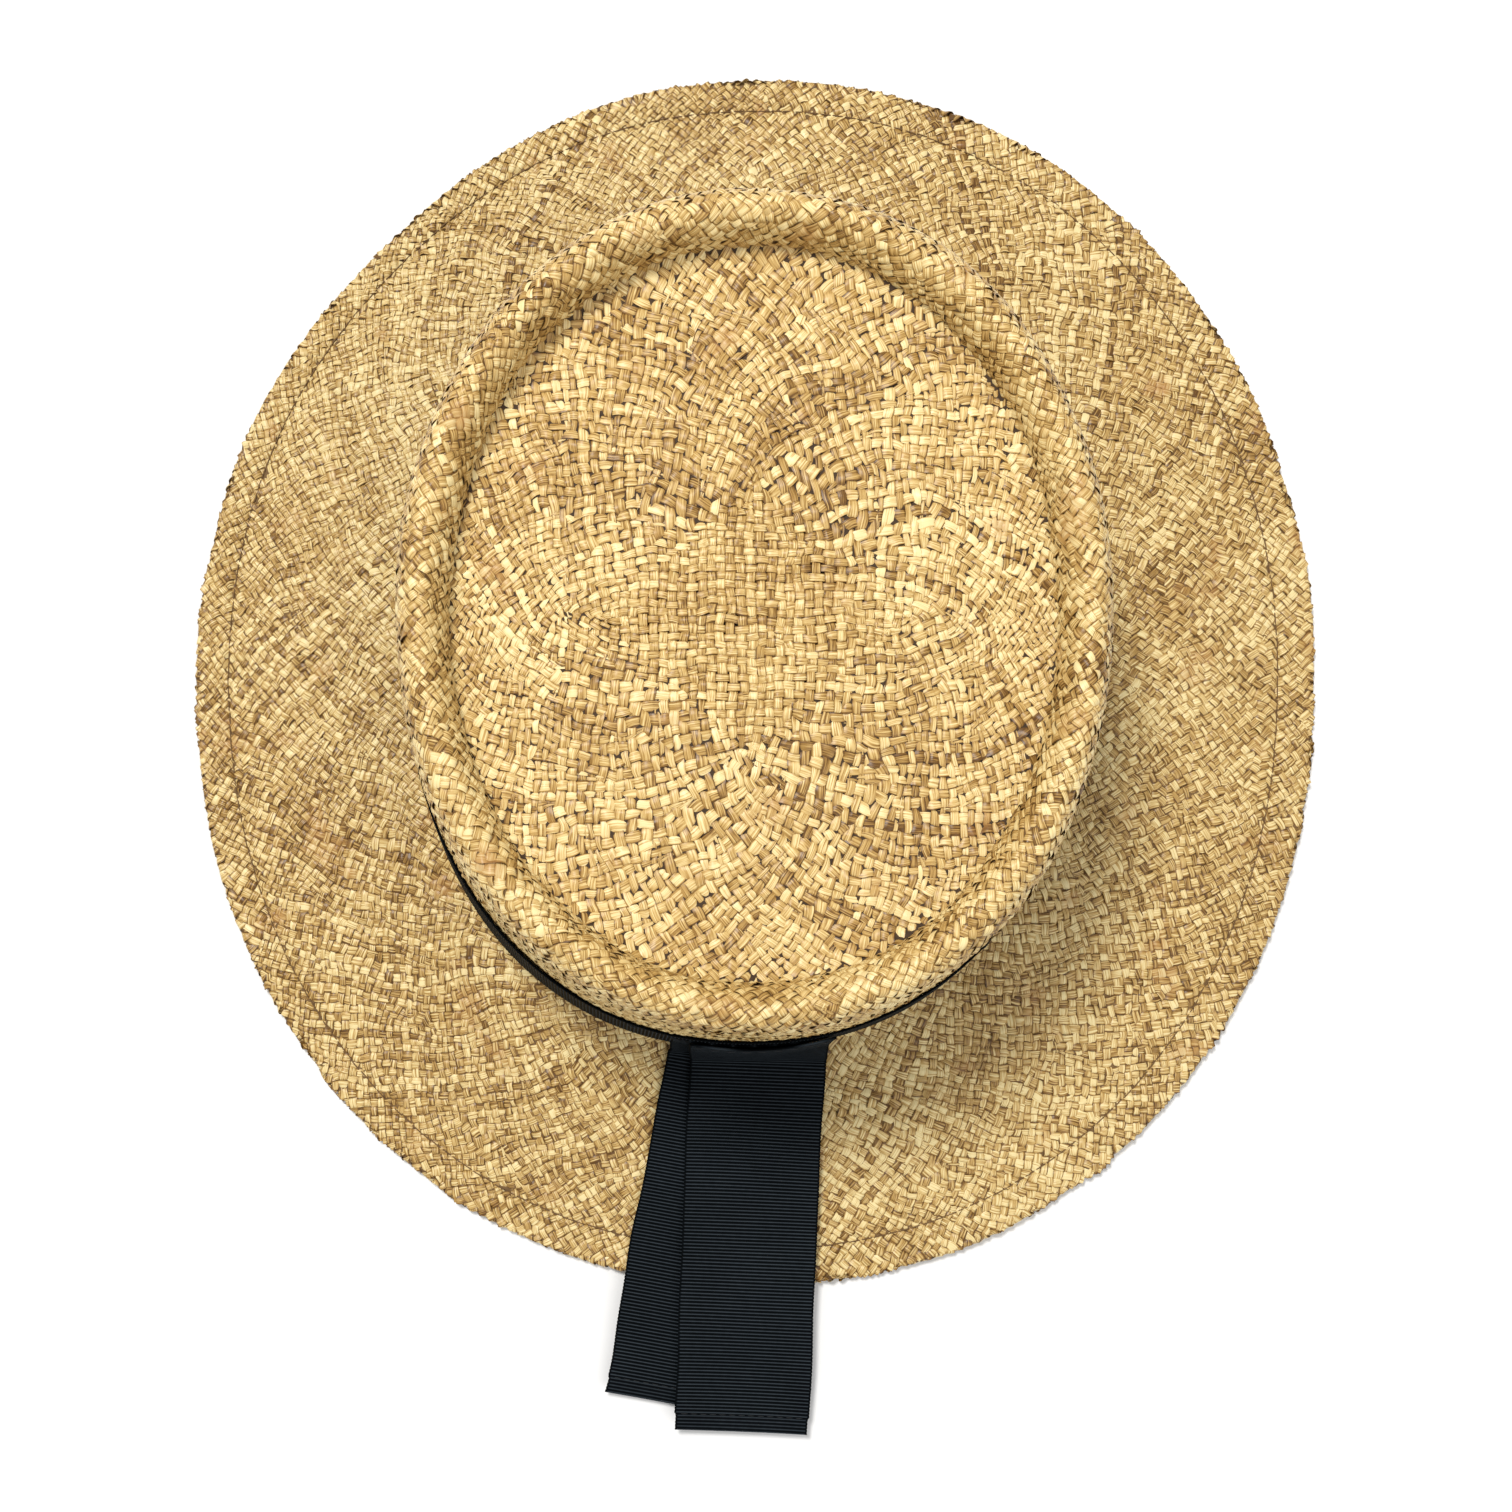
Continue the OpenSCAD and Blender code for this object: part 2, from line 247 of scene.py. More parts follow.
# ---- smooth random fields
def waves(seed, length, count=28):
    """A smooth random function of place, about -1 to 1, that varies over the given length."""
    r = np.random.default_rng(seed)
    k = r.normal(size=(count, 3))
    k *= (2 * np.pi / length / np.linalg.norm(k, axis=1) * r.uniform(0.6, 1.5, count))[:, None]
    phase = r.uniform(0, 2 * np.pi, count)
    size = np.sqrt(2 / count) * 0.8

    def at(p):
        shape = p.shape[:-1]
        q = p.reshape(-1, 3)
        total = np.zeros(len(q))
        for i in range(count):
            total += np.cos(q @ k[i] + phase[i])
        return (total * size).reshape(shape)

    return at


WANDER = [waves(11 + i, 15 * MM) for i in range(3)]
FINE_WANDER = [waves(31 + i, 6 * MM) for i in range(3)]
WANDER_BY, FINE_WANDER_BY = 0.42 * MM, 0.16 * MM
DENT = waves(51, 55 * MM)
DENT_H = 0.22 * MM


def wander(p, n):
    """Moves points along the surface a little, as hand weaving does, and dents it slightly."""
    d = np.stack([w(p) for w in WANDER], axis=-1) * WANDER_BY
    d += np.stack([w(p) for w in FINE_WANDER], axis=-1) * FINE_WANDER_BY
    d -= n * (d * n).sum(axis=-1, keepdims=True)
    return p + d + n * (DENT(p) * DENT_H)[..., None]


# ---- the weave
PER_SIDE = 16  # strands each way on one side of the middle
PITCH = 1.97 * MM
RAMP = 13 * MM  # over which a new pair of strands widens
RISE = 0.27 * MM  # how far a strand passes over and under
FLAT = 0.29  # half the flat part of a strand, as a share of its width
BULGE = 0.055  # its height over the strand's edges, likewise
ACROSS = np.array([-0.5, -FLAT, FLAT, 0.5])
COVER, COVER_SPREAD = 0.90, 0.11  # a strand's width as a share of its room
CLOSER, UNEVEN = 0.07, 0.045  # how much wider outside the tip, and how uneven
WIDEST, NARROWEST = 2.9 * MM, 0.12 * MM
CRISP = 1.7  # how sharply a strand changes from over to under
EDGE_ROUGH, RIM_FLAT = 0.35, 0.95  # more rise on the doubled edge, less at the rim

ring_gap = np.linalg.norm(np.diff(rings, axis=0), axis=2).mean(axis=1)
along = np.concatenate([[0], np.cumsum(ring_gap)])  # distance out from the middle's edge
perimeter = np.linalg.norm(np.roll(rings, -1, axis=1) - rings, axis=2).sum(axis=1)
twist = np.concatenate([[0], np.cumsum(ring_gap / ((perimeter[1:] + perimeter[:-1]) / 2))])
stations = len(rings)


def strand_births():
    """Where each strand of a family starts, in order round the hat: pairs join as the rings grow."""
    wanted = np.maximum.accumulate(perimeter) / (PITCH * math.sqrt(2))
    births = [0.0] * (4 * PER_SIDE)
    golden = 0.6180339887
    pair = 0
    for j in range(1, stations):
        while len(births) + 2 <= wanted[j]:
            pair += 1
            at = int(((pair * golden) % 1) * len(births))
            births[at:at] = [along[j], along[j]]
    return np.array(births)


births = strand_births()
strands = len(births)


def family(seed):
    """One family of strands: its place round each ring, width share and rise, by station."""
    r = np.random.default_rng(seed)
    full = np.clip(r.normal(1, 0.11, strands), 0.72, 1.35)
    age = (along[:, None] - births[None, :]) / RAMP
    age = np.clip(age, 0, 1)
    grown = age * age * (3 - 2 * age)
    first = births == 0
    start = np.clip(along[:, None] / RAMP, 0, 1)
    weight = np.where(first[None, :], 1 + (full - 1) * start, full * grown)
    total = weight.sum(axis=1, keepdims=True)
    centre = (np.cumsum(weight, axis=1) - weight / 2) / total
    alive = (along[:, None] >= births[None, :] - 1e-9)
    rise = np.where(first[None, :], 1.0, grown)
    return {"centre": centre, "weight": weight, "rise": rise, "alive": alive}


fam_a, fam_b = family(21), family(22)  # they wind to the right and to the left
parity = np.where(np.arange(strands) % 2 == 0, 1.0, -1.0)


def crossing_height(mine, other, sign):
    """Height of each of my strands over or under the other family, at every station."""
    height = np.zeros((stations, strands))
    for j in range(stations):
        x = (mine["centre"][j] + sign * 2 * twist[j]) % 1.0
        c, level = other["centre"][j], parity * other["rise"][j]
        i = np.searchsorted(c, x)
        lo, hi = (i - 1) % strands, i % strands
        c_lo = np.where(i == 0, c[lo] - 1, c[lo])
        c_hi = np.where(i == strands, c[hi] + 1, c[hi])
        f = np.clip((x - c_lo) / np.maximum(c_hi - c_lo, 1e-9), 0, 1)
        ease = (1 - np.cos(np.pi * f)) / 2
        height[j] = level[lo] * (1 - ease) + level[hi] * ease
    return height * parity[None, :] * mine["rise"] * sign


def place(fam, sign):
    """Centre points and surface normals of a family's strands; it winds round one way or the other."""
    t = ((fam["centre"] + sign * twist[:, None]) % 1.0) * AROUND
    i = np.floor(t).astype(int) % AROUND
    f = (t - np.floor(t))[..., None]
    row = np.arange(stations)[:, None]
    p = rings[row, i] * (1 - f) + rings[row, (i + 1) % AROUND] * f
    n = normals[row, i] * (1 - f) + normals[row, (i + 1) % AROUND] * f
    return p, n / np.linalg.norm(n, axis=2, keepdims=True)


# ---- the straight-woven middle of the tip
CORE_STEP = 0.5 * MM
CORE_ROWS = int(math.ceil(CORE.max() / CORE_STEP))
first_strands = np.flatnonzero(births == 0)


def core_lines(right):
    """For each first strand: the axis it lies across, its line's index, which way out it runs."""
    n = PER_SIDE
    k = np.arange(4 * n)
    quarter = k // n
    if right:
        index = np.choose(quarter, [n - 1 - k, 2 * n - 1 - k, k - 3 * n, k - 4 * n])
        return quarter % 2, index, np.choose(quarter, [1, -1, -1, 1])
    index = np.choose(quarter, [k, n - 1 - k, 2 * n - 1 - k, k - 3 * n])
    return 1 - quarter % 2, index, np.choose(quarter, [1, 1, -1, -1])


def core(right):
    """Rows of points of the first strands inside the middle, from its edge to its centre lines."""
    axis, index, out = core_lines(right)
    pitch = CORE / PER_SIDE
    lines = np.arange(len(axis))
    fixed = (index + 0.5) * pitch[axis]
    reach = CORE[1 - axis] * (1 - np.abs(fixed) / CORE[axis])
    gone = np.arange(CORE_ROWS, 0, -1)[:, None] * CORE_STEP
    free = out * np.maximum(reach - gone, 0)
    xy = np.empty((CORE_ROWS, len(axis), 2))
    xy[:, lines, axis] = fixed
    xy[:, lines, 1 - axis] = free
    x, y = xy[..., 0], xy[..., 1]
    e = 0.05 * MM
    z = tip_height(x, y)
    normal = np.stack([z - tip_height(x + e, y), z - tip_height(x, y + e), np.full_like(z, e)], -1)
    normal /= np.linalg.norm(normal, axis=2, keepdims=True)
    centre = np.stack([x, y, z], -1) - normal * SINK
    side = np.where(axis == 0, -1.0, 1.0) * np.where(index % 2 == 0, 1.0, -1.0)
    over = side * np.cos(np.pi * (free / pitch[1 - axis] - 0.5))
    shared = np.clip(np.random.default_rng(77).normal(0.5, 0.15, (2, 2 * PER_SIDE)), 0.05, 0.95)
    lines = {"shared": shared[axis, index + PER_SIDE], "inward": np.minimum(gone / reach, 1)}
    return centre, normal, over, gone < reach + CORE_STEP, pitch[axis], lines


def ease_in(path, inward, rows=16, rounds=60):
    """Strand paths with the corner where they leave the straight-woven middle rounded off."""
    near = np.clip(1 - np.abs(np.arange(len(path)) - CORE_ROWS) / rows, 0, 1)[:, None]
    near = near * np.concatenate([inward < 1, np.ones((len(path) - CORE_ROWS, inward.shape[1]))])
    for _ in range(rounds):
        mean = path.copy()
        mean[1:-1] = (path[:-2] + 2 * path[1:-1] + path[2:]) / 4
        path = path + (mean - path) * near[..., None]
    return path


def towards_centre(values, lines, rows):
    """Per-strand values down the rows; inside the middle the two halves of a line come to agree."""
    grid = np.broadcast_to(values, (rows, len(values))).copy()
    grid[:CORE_ROWS, first_strands] += (lines["shared"] - values[first_strands]) * lines["inward"]
    return grid


RIM = along[zone_end["brim_outer"]]  # the weave lies flat where it turns over the rim
ROUGH_FROM = RIM - HEM_W  # the doubled edge is woven rougher
CLOSE_FROM = along[zone_start["ridge"]]  # outside the tip the weave is closer


def strand_sheets(fam, sign, seed):
    """Every strand of a family as rows of four points across, with its fields at each row."""
    other = fam_b if sign > 0 else fam_a
    centre, n = place(fam, sign)
    core_centre, core_n, core_over, core_keep, core_pitch, lines = core(sign > 0)
    rows = CORE_ROWS + stations
    first = first_strands

    def before(values, inside):
        """The rows outside the middle with the first strands' rows inside it put before them."""
        full = np.repeat(values[:1], CORE_ROWS, axis=0)
        full[:, first] = inside
        return np.concatenate([full, values])

    centre, n = before(centre, core_centre), before(n, core_n)
    over = before(crossing_height(fam, other, sign), core_over)
    inside = np.zeros((CORE_ROWS, strands), bool)
    inside[:, first] = core_keep
    keep = np.concatenate([inside, fam["alive"]])
    centre[:, first] = ease_in(centre[:, first], lines["inward"])
    centre = wander(centre, n)
    tangent = np.gradient(centre, axis=0)
    tangent /= np.maximum(np.linalg.norm(tangent, axis=2, keepdims=True), 1e-12)
    side = np.cross(n, tangent)
    side /= np.maximum(np.linalg.norm(side, axis=2, keepdims=True), 1e-12)
    around = np.roll(centre, -1, axis=1) - np.roll(centre, 1, axis=1)
    weight = fam["weight"]
    share = weight / (0.5 * (np.roll(weight, -1, 1) + np.roll(weight, 1, 1)) + weight + 1e-9)
    room = np.abs((around * side).sum(axis=2))
    room[CORE_ROWS:] *= share
    room[:CORE_ROWS] = 0
    room[:CORE_ROWS, first] = core_pitch
    r = np.random.default_rng(seed)
    run = np.concatenate([np.arange(-CORE_ROWS, 0) * CORE_STEP, along])
    close = CLOSER * np.clip((run - CLOSE_FROM) / (8 * MM), 0, 1)[:, None]
    cover = COVER + COVER_SPREAD * towards_centre(r.uniform(0, 1, strands), lines, rows)
    width = np.clip(room, 0, WIDEST) * (cover + close + UNEVEN * waves(seed, 9 * MM)(centre))
    crisp = np.tanh(CRISP * over) / math.tanh(CRISP)
    rough = 1 + EDGE_ROUGH * np.clip((run - ROUGH_FROM) / (2 * MM), 0, 1)[:, None]
    rough = rough - RIM_FLAT * np.exp(-(((run - RIM) / (1.8 * MM)) ** 2))[:, None]
    height = RISE * (crisp * rough + 0.20 * waves(seed + 1, 5 * MM)(centre))
    middle = centre + n * height[..., None]
    across = side + n * (0.20 * waves(seed + 2, 7 * MM)(centre))[..., None]
    lift = BULGE * (np.abs(ACROSS) < 0.5)
    points = middle[:, :, None] + width[..., None, None] * (
        across[:, :, None] * ACROSS[None, None, :, None] + n[:, :, None] * lift[None, None, :, None])
    tones = np.clip(r.normal(0.5, 0.17, strands), 0.0, 1.0)
    fields = {
        "tone": towards_centre(tones, lines, rows)[..., None],
        "run": run[:, None, None] * 1.4 + r.uniform(0, 3, strands)[None, :, None],
        "across": (ACROSS + 0.5)[None, None, :],
        "over": crisp[..., None],
    }
    return points, keep & (width > NARROWEST), fields


def add_mesh(name, verts, faces, material, **attributes):
    """An object from arrays of points and quads, with named number attributes on its points."""
    mesh = bpy.data.meshes.new(name)
    mesh.vertices.add(len(verts))
    mesh.vertices.foreach_set("co", np.ascontiguousarray(verts, np.float32).ravel())
    sides = faces.shape[1]
    mesh.loops.add(faces.size)
    mesh.loops.foreach_set("vertex_index", faces.astype(np.int32).ravel())
    mesh.polygons.add(len(faces))
    mesh.polygons.foreach_set("loop_start", np.arange(0, faces.size, sides, dtype=np.int32))
    mesh.polygons.foreach_set("use_smooth", np.full(len(faces), True))
    mesh.update(calc_edges=True)
    for key, values in attributes.items():
        layer = mesh.attributes.new(key, "FLOAT", "POINT")
        layer.data.foreach_set("value", np.ascontiguousarray(values, np.float32).ravel())
    mesh.materials.append(material)
    piece = bpy.data.objects.new(name, mesh)
    bpy.context.scene.collection.objects.link(piece)
    return piece


def attach(piece, body, slot_name, *replaced):
    """Says what a piece rides on and the nodes it stands for; its slot_name is not used.
    A piece that is blended across a joint has no single body."""
    if body:
        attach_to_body(piece, body)
    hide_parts(*replaced)
    return piece


def strips(points, keep, fields):
    """Points, quads and fields of rows of strips: points is (rows, strips, across, 3)."""
    index = np.arange(points[..., 0].size).reshape(points.shape[:3])
    cell = keep[:-1] & keep[1:]
    a, b = index[:-1, :, :-1], index[:-1, :, 1:]
    c, d = index[1:, :, 1:], index[1:, :, :-1]
    quads = np.stack([a, b, c, d], axis=-1)[cell].reshape(-1, 4)
    used, inverse = np.unique(quads, return_inverse=True)
    flat = {k: v.reshape(-1)[used] for k, v in fields.items()}
    return points.reshape(-1, 3)[used], inverse.reshape(-1, 4), flat


# ---- materials
def nodes_of(name):
    mat = bpy.data.materials.new(name)
    mat.use_nodes = True
    nt = mat.node_tree
    return mat, nt, nt.nodes["Principled BSDF"]


def node(nt, kind, **values):
    n = nt.nodes.new(kind)
    for key, value in values.items():
        if key in n.inputs:
            n.inputs[key].default_value = value
        else:
            setattr(n, key, value)
    return n


def link(nt, a, b):
    nt.links.new(a, b)


def attribute(nt, name):
    return node(nt, "ShaderNodeAttribute", attribute_name=name).outputs["Fac"]


def feed(nt, n, values):
    """Sets or links a node's first inputs: a number is set and a socket is linked."""
    for slot, value in zip(n.inputs, values):
        if isinstance(value, (int, float)):
            slot.default_value = value
        else:
            link(nt, value, slot)


def math_node(nt, operation, a, b=0.0, clamp=False):
    n = node(nt, "ShaderNodeMath", operation=operation, use_clamp=clamp)
    feed(nt, n, (a, b))
    return n.outputs[0]


def times(nt, a, b):
    return math_node(nt, "MULTIPLY", a, b)


def plus(nt, a, b, clamp=False):
    return math_node(nt, "ADD", a, b, clamp)


def ramp(nt, fac, stops):
    n = node(nt, "ShaderNodeValToRGB")
    n.color_ramp.interpolation = "B_SPLINE"
    while len(n.color_ramp.elements) < len(stops):
        n.color_ramp.elements.new(0.5)
    for e, (at, colour) in zip(n.color_ramp.elements, stops):
        e.position = at
        e.color = (*colour, 1)
    link(nt, fac, n.inputs["Fac"])
    return n.outputs["Color"]


def noise(nt, vector, scale, detail=2.0):
    n = node(nt, "ShaderNodeTexNoise", Scale=scale, Detail=detail)
    link(nt, vector, n.inputs["Vector"])
    return n.outputs["Fac"]


def place_socket(nt):
    return node(nt, "ShaderNodeTexCoord").outputs["Object"]


def vector_of(nt, x, y, z):
    n = node(nt, "ShaderNodeCombineXYZ")
    feed(nt, n, (x, y, z))
    return n.outputs[0]


def bump(nt, bsdf, height, strength, distance):
    n = node(nt, "ShaderNodeBump", Strength=strength, Distance=distance)
    link(nt, height, n.inputs["Height"])
    link(nt, n.outputs["Normal"], bsdf.inputs["Normal"])


STRAW_STOPS = [
    (0.00, (0.080, 0.032, 0.006)),
    (0.25, (0.280, 0.145, 0.032)),
    (0.48, (0.490, 0.300, 0.090)),
    (0.72, (0.670, 0.465, 0.175)),
    (1.00, (0.900, 0.755, 0.400)),
]
REDDISH = (0.42, 0.20, 0.06, 1)
STRAW_LEVEL = 0.66  # middling lightness along the colours above


def straw_material(name, painted_light_and_shade, contrast):
    """Satin straw: a tone for each strand, patches along it, fine fibres that run its length,
    and painted shade: a darker colour at its edges and where it dips under another strand."""
    mat, nt, bsdf = nodes_of(name)
    tone, run = attribute(nt, "tone"), attribute(nt, "run")
    across, over = attribute(nt, "across"), attribute(nt, "over")
    fine = vector_of(nt, times(nt, across, 5.5), times(nt, run, 90.0), times(nt, tone, 9.0))
    fibre = noise(nt, fine, 1.6, 3.0)
    stretch = noise(nt, vector_of(nt, times(nt, run, 170.0), times(nt, tone, 37.0), 0.0), 1.0, 2.0)
    patch = noise(nt, place_socket(nt), 150.0, 3.0)
    broad = noise(nt, place_socket(nt), 16.0, 2.0)
    off_middle = math_node(nt, "ABSOLUTE", math_node(nt, "SUBTRACT", across, 0.5))
    # Painted shade: the strand's colour darkens towards both its edges.
    edge = math_node(nt, "POWER", times(nt, off_middle, 2.0), 6.0)
    # Painted shade: darker where the strand dips under the other family.
    under = math_node(nt, "SUBTRACT", 0.35, over, clamp=True)
    mixed = STRAW_LEVEL
    shares = ((tone, 0.5, 0.95), (fibre, 0.5, 1.60 * contrast), (stretch, 0.5, 0.50), (patch, 0.5, 0.32),
              (broad, 0.5, 0.25), (edge, 0.0, -0.45 * contrast), (under, 0.0, -0.20 * contrast))
    for socket, middle, weight in shares:
        offset = math_node(nt, "SUBTRACT", socket, middle)
        mixed = plus(nt, mixed, times(nt, offset, weight))
    mixed = plus(nt, mixed, 0.0, clamp=True)
    # Painted light and shade: each copy's colours are scaled lighter or darker as a whole.
    stops = [(at, tuple(c * painted_light_and_shade for c in colour)) for at, colour in STRAW_STOPS]
    red = noise(nt, place_socket(nt), 75.0, 2.0)
    tint = node(nt, "ShaderNodeMix", data_type="RGBA")
    link(nt, times(nt, math_node(nt, "SUBTRACT", red, 0.62, clamp=True), 3.5), tint.inputs[0])
    link(nt, ramp(nt, mixed, stops), tint.inputs[6])
    tint.inputs[7].default_value = REDDISH
    link(nt, tint.outputs[2], bsdf.inputs["Base Color"])
    link(nt, plus(nt, 0.24, times(nt, fibre, 0.26)), bsdf.inputs["Roughness"])
    bsdf.inputs["Specular IOR Level"].default_value = 0.32
    bump(nt, bsdf, fibre, 0.5, 0.0001)
    return mat


def thread_material(name, colour):
    """Sewing thread: a fine slanted twist over a slightly uneven colour."""
    mat, nt, bsdf = nodes_of(name)
    where = place_socket(nt)
    wave = node(nt, "ShaderNodeTexWave", Scale=900.0, Distortion=1.5)
    wave.bands_direction = "DIAGONAL"
    link(nt, where, wave.inputs["Vector"])
    mix = plus(nt, times(nt, wave.outputs["Fac"], 0.5), times(nt, noise(nt, where, 300.0), 0.5))
    dark = tuple(c * 0.55 for c in colour)
    link(nt, ramp(nt, mix, [(0.2, dark), (0.8, colour)]), bsdf.inputs["Base Color"])
    bsdf.inputs["Roughness"].default_value = 0.75
    bump(nt, bsdf, wave.outputs["Fac"], 0.5, 0.00008)
    return mat


def ribbon_material(name):
    """Near-black grosgrain: each rib is a round cord of fine filling under crossing warp threads; its
    crests are painted lighter as a highlight and its grooves near black as shade.
    """
    mat, nt, bsdf = nodes_of(name)
    rib, across = attribute(nt, "rib"), attribute(nt, "across")
    where = place_socket(nt)
    warp = node(nt, "ShaderNodeTexWave", Scale=1.0, Distortion=0.0)
    warp.bands_direction = "X"
    link(nt, vector_of(nt, times(nt, across, 620.0), 0.0, 0.0), warp.inputs["Vector"])
    lint = noise(nt, where, 700.0, 4.0)
    # Painted highlight on the rib crests and painted shade in the grooves between them.
    crest_highlight = math_node(nt, "POWER", rib, 7.0)
    level = plus(nt, times(nt, crest_highlight, 0.86), times(nt, lint, 0.22))
    level = plus(nt, level, times(nt, noise(nt, where, 60.0), 0.16), clamp=True)
    link(nt, ramp(nt, level, [(0.12, (0.0004, 0.0006, 0.0008)), (0.55, (0.0035, 0.0055, 0.0075)),
                              (1.00, (0.0480, 0.0600, 0.0720))]), bsdf.inputs["Base Color"])
    bsdf.inputs["Roughness"].default_value = 0.66
    bsdf.inputs["Specular IOR Level"].default_value = 0.03
    bump(nt, bsdf, plus(nt, warp.outputs["Fac"], times(nt, lint, 0.6)), 0.35, 0.00006)
    return mat


def cloth_material(name, light, dark, threads):
    """Plain-woven cotton tape, as a fine grid of threads on the surface."""
    mat, nt, bsdf = nodes_of(name)
    run, across = attribute(nt, "run"), attribute(nt, "across")
    weave = node(nt, "ShaderNodeTexChecker", Scale=threads)
    link(nt, vector_of(nt, run, across, 0.0), weave.inputs["Vector"])
    lint = noise(nt, place_socket(nt), 500.0, 4.0)
    mix = plus(nt, times(nt, weave.outputs["Fac"], 0.35), times(nt, lint, 0.65))
    link(nt, ramp(nt, mix, [(0.15, dark), (0.85, light)]), bsdf.inputs["Base Color"])
    bsdf.inputs["Roughness"].default_value = 0.85
    bump(nt, bsdf, mix, 0.4, 0.0001)
    return mat


def gap_shade_material(name, light, dark):
    """Painted shade between strands: a fine brown mottle, darker than the straw, for the shaded straw seen
    through the gaps.
    """
    mat, nt, bsdf = nodes_of(name)
    mottle = noise(nt, place_socket(nt), 900.0, 3.0)
    link(nt, ramp(nt, mottle, [(0.25, dark), (0.75, light)]), bsdf.inputs["Base Color"])
    bsdf.inputs["Roughness"].default_value = 0.8
    bump(nt, bsdf, mottle, 0.4, 0.0001)
    return mat


# Painted light and shade: the crown's straw is a touch lighter, the brim's and hem's darker, and the brim
# and hem get stronger fibre contrast and stronger painted shade at strand edges and dips.
straw = straw_material("straw", 1.02, 1.25)
straw_brim = straw_material("straw_brim", 0.96, 1.65)
straw_hem = straw_material("straw_hem", 0.94, 1.65)
# Painted shade for the gaps between strands: near black inside the tip, dark brown elsewhere.
tip_gap_shade = gap_shade_material("tip_gap_shade", (0.070, 0.034, 0.010), (0.020, 0.010, 0.003))
straw_gap_shade = gap_shade_material("straw_gap_shade", (0.230, 0.130, 0.044), (0.100, 0.052, 0.016))
hem_thread = thread_material("hem_thread", (0.20, 0.105, 0.035))
ribbon = ribbon_material("ribbon")
ribbon_thread = thread_material("ribbon_thread", (0.009, 0.011, 0.014))
cotton = cloth_material("sweatband_cotton", (0.80, 0.73, 0.58), (0.62, 0.54, 0.40), 1400.0)
label_cloth = cloth_material("label_cloth", (0.88, 0.87, 0.84), (0.76, 0.75, 0.71), 2600.0)


# ---- woven pieces
def weave_zone(zone, node_name, material, slot_name):
    start = zone_start[zone] + (CORE_ROWS if zone != "tip" else 0)
    rows = slice(start, zone_end[zone] + CORE_ROWS + 1)
    for label, (points, keep, fields) in woven.items():
        part = {key: np.broadcast_to(v, points.shape[:3])[rows] for key, v in fields.items()}
        verts, quads, flat = strips(points[rows], keep[rows], part)
        attach(add_mesh(f"{zone}_strands_{label}", verts, quads, material, **flat),
               "hat", slot_name, node_name)


woven = {"right": strand_sheets(fam_a, 1, 61), "left": strand_sheets(fam_b, -1, 71)}
for zone, node_name in zip(ZONES, ["crown_tip", "crown_ridge", "crown_wall", "brim", "brim"]):
    weave_zone(zone, node_name, straw_brim if node_name == "brim" else straw, "straw")
weave_zone("hem", "brim_hem", straw_hem, "straw_hem")


def weave_shade_sheet(zone, node_name, colour):
    """A thin darker sheet in the middle of the weave, painted shade: what shows in the small gaps between
    strands.
    """
    rows = np.unique(np.append(np.arange(zone_start[zone], zone_end[zone], 3), zone_end[zone]))
    flat, n = rings[rows][:, ::2], normals[rows][:, ::2]
    grid = flat + n * (DENT(flat) * DENT_H)[..., None]
    count = grid.shape[1]
    index = np.arange(len(rows) * count).reshape(len(rows), count)
    ahead = np.roll(index, -1, axis=1)
    quads = np.stack([index[:-1], ahead[:-1], ahead[1:], index[1:]], -1).reshape(-1, 4)
    attach(add_mesh(f"{zone}_straw_shade_sheet", grid.reshape(-1, 3), quads, colour),
           "hat", "straw_hem" if zone == "hem" else "straw", node_name)


# Painted shade sheets under each zone's weave.
for zone, node_name in zip(ZONES, ["crown_tip", "crown_ridge", "crown_wall", "brim", "brim", "brim_hem"]):
    weave_shade_sheet(zone, node_name, tip_gap_shade if zone == "tip" else straw_gap_shade)


# ---- hem stitching
def tube(path, radius, sides=6):
    """Points and quads of a round thread along a path."""
    path = np.asarray(path)
    tangent = np.gradient(path, axis=0)
    tangent /= np.linalg.norm(tangent, axis=1, keepdims=True)
    side = np.cross(tangent, [0, 0, 1.0])
    side /= np.maximum(np.linalg.norm(side, axis=1, keepdims=True), 1e-9)
    lift = np.cross(side, tangent)
    a = np.arange(sides) / sides * 2 * np.pi
    r = np.broadcast_to(radius, (len(path),))[:, None, None]
    out = np.cos(a)[None, :, None] * side[:, None] + np.sin(a)[None, :, None] * lift[:, None]
    pts = path[:, None] + r * out
    i = np.arange(len(path) - 1)[:, None] * sides
    k = np.arange(sides)[None, :]
    k2 = (k + 1) % sides
    quads = np.stack([i + k, i + k2, i + sides + k2, i + sides + k], axis=-1).reshape(-1, 4)
    return pts.reshape(-1, 3), quads


def stitches(paths, radius, name, material, body, replaced, slot_name):
    """Separate short threads that dip at both ends, as one piece."""
    verts, quads, offset = [], [], 0
    for path in paths:
        t = np.linspace(0, 1, len(path))
        v, q = tube(path, radius * np.sqrt(np.maximum(0.05, 1 - (2 * t - 1) ** 8)))
        verts.append(v)
        quads.append(q + offset)
        offset += len(v)
    return attach(add_mesh(name, np.vstack(verts), np.vstack(quads), material), body, slot_name, replaced)


def hem_stitches():
    """One long line of stitches that sits in the weave just outside the hem's inner edge."""
    line = brim_ring(STITCH_U)
    length = np.linalg.norm(np.roll(line, -1, 0) - line, axis=1).sum()
    count = round(length / (3.4 * MM))
    r = np.random.default_rng(3)
    paths = []
    for i in range(count):
        share = np.linspace(0, 1, 9)
        xy = ring_at(line, (i + 0.01 + 0.98 * share) / count * AROUND)
        xy = xy + r.normal(0, 0.07 * MM, 2)
        flat = np.column_stack([xy, np.full(len(xy), HEM_TOP)])
        z = HEM_TOP - STITCH_DIP + DENT(flat) * DENT_H - 0.25 * MM * np.abs(2 * share - 1) ** 8
        paths.append(np.column_stack([xy, z]))
    return paths


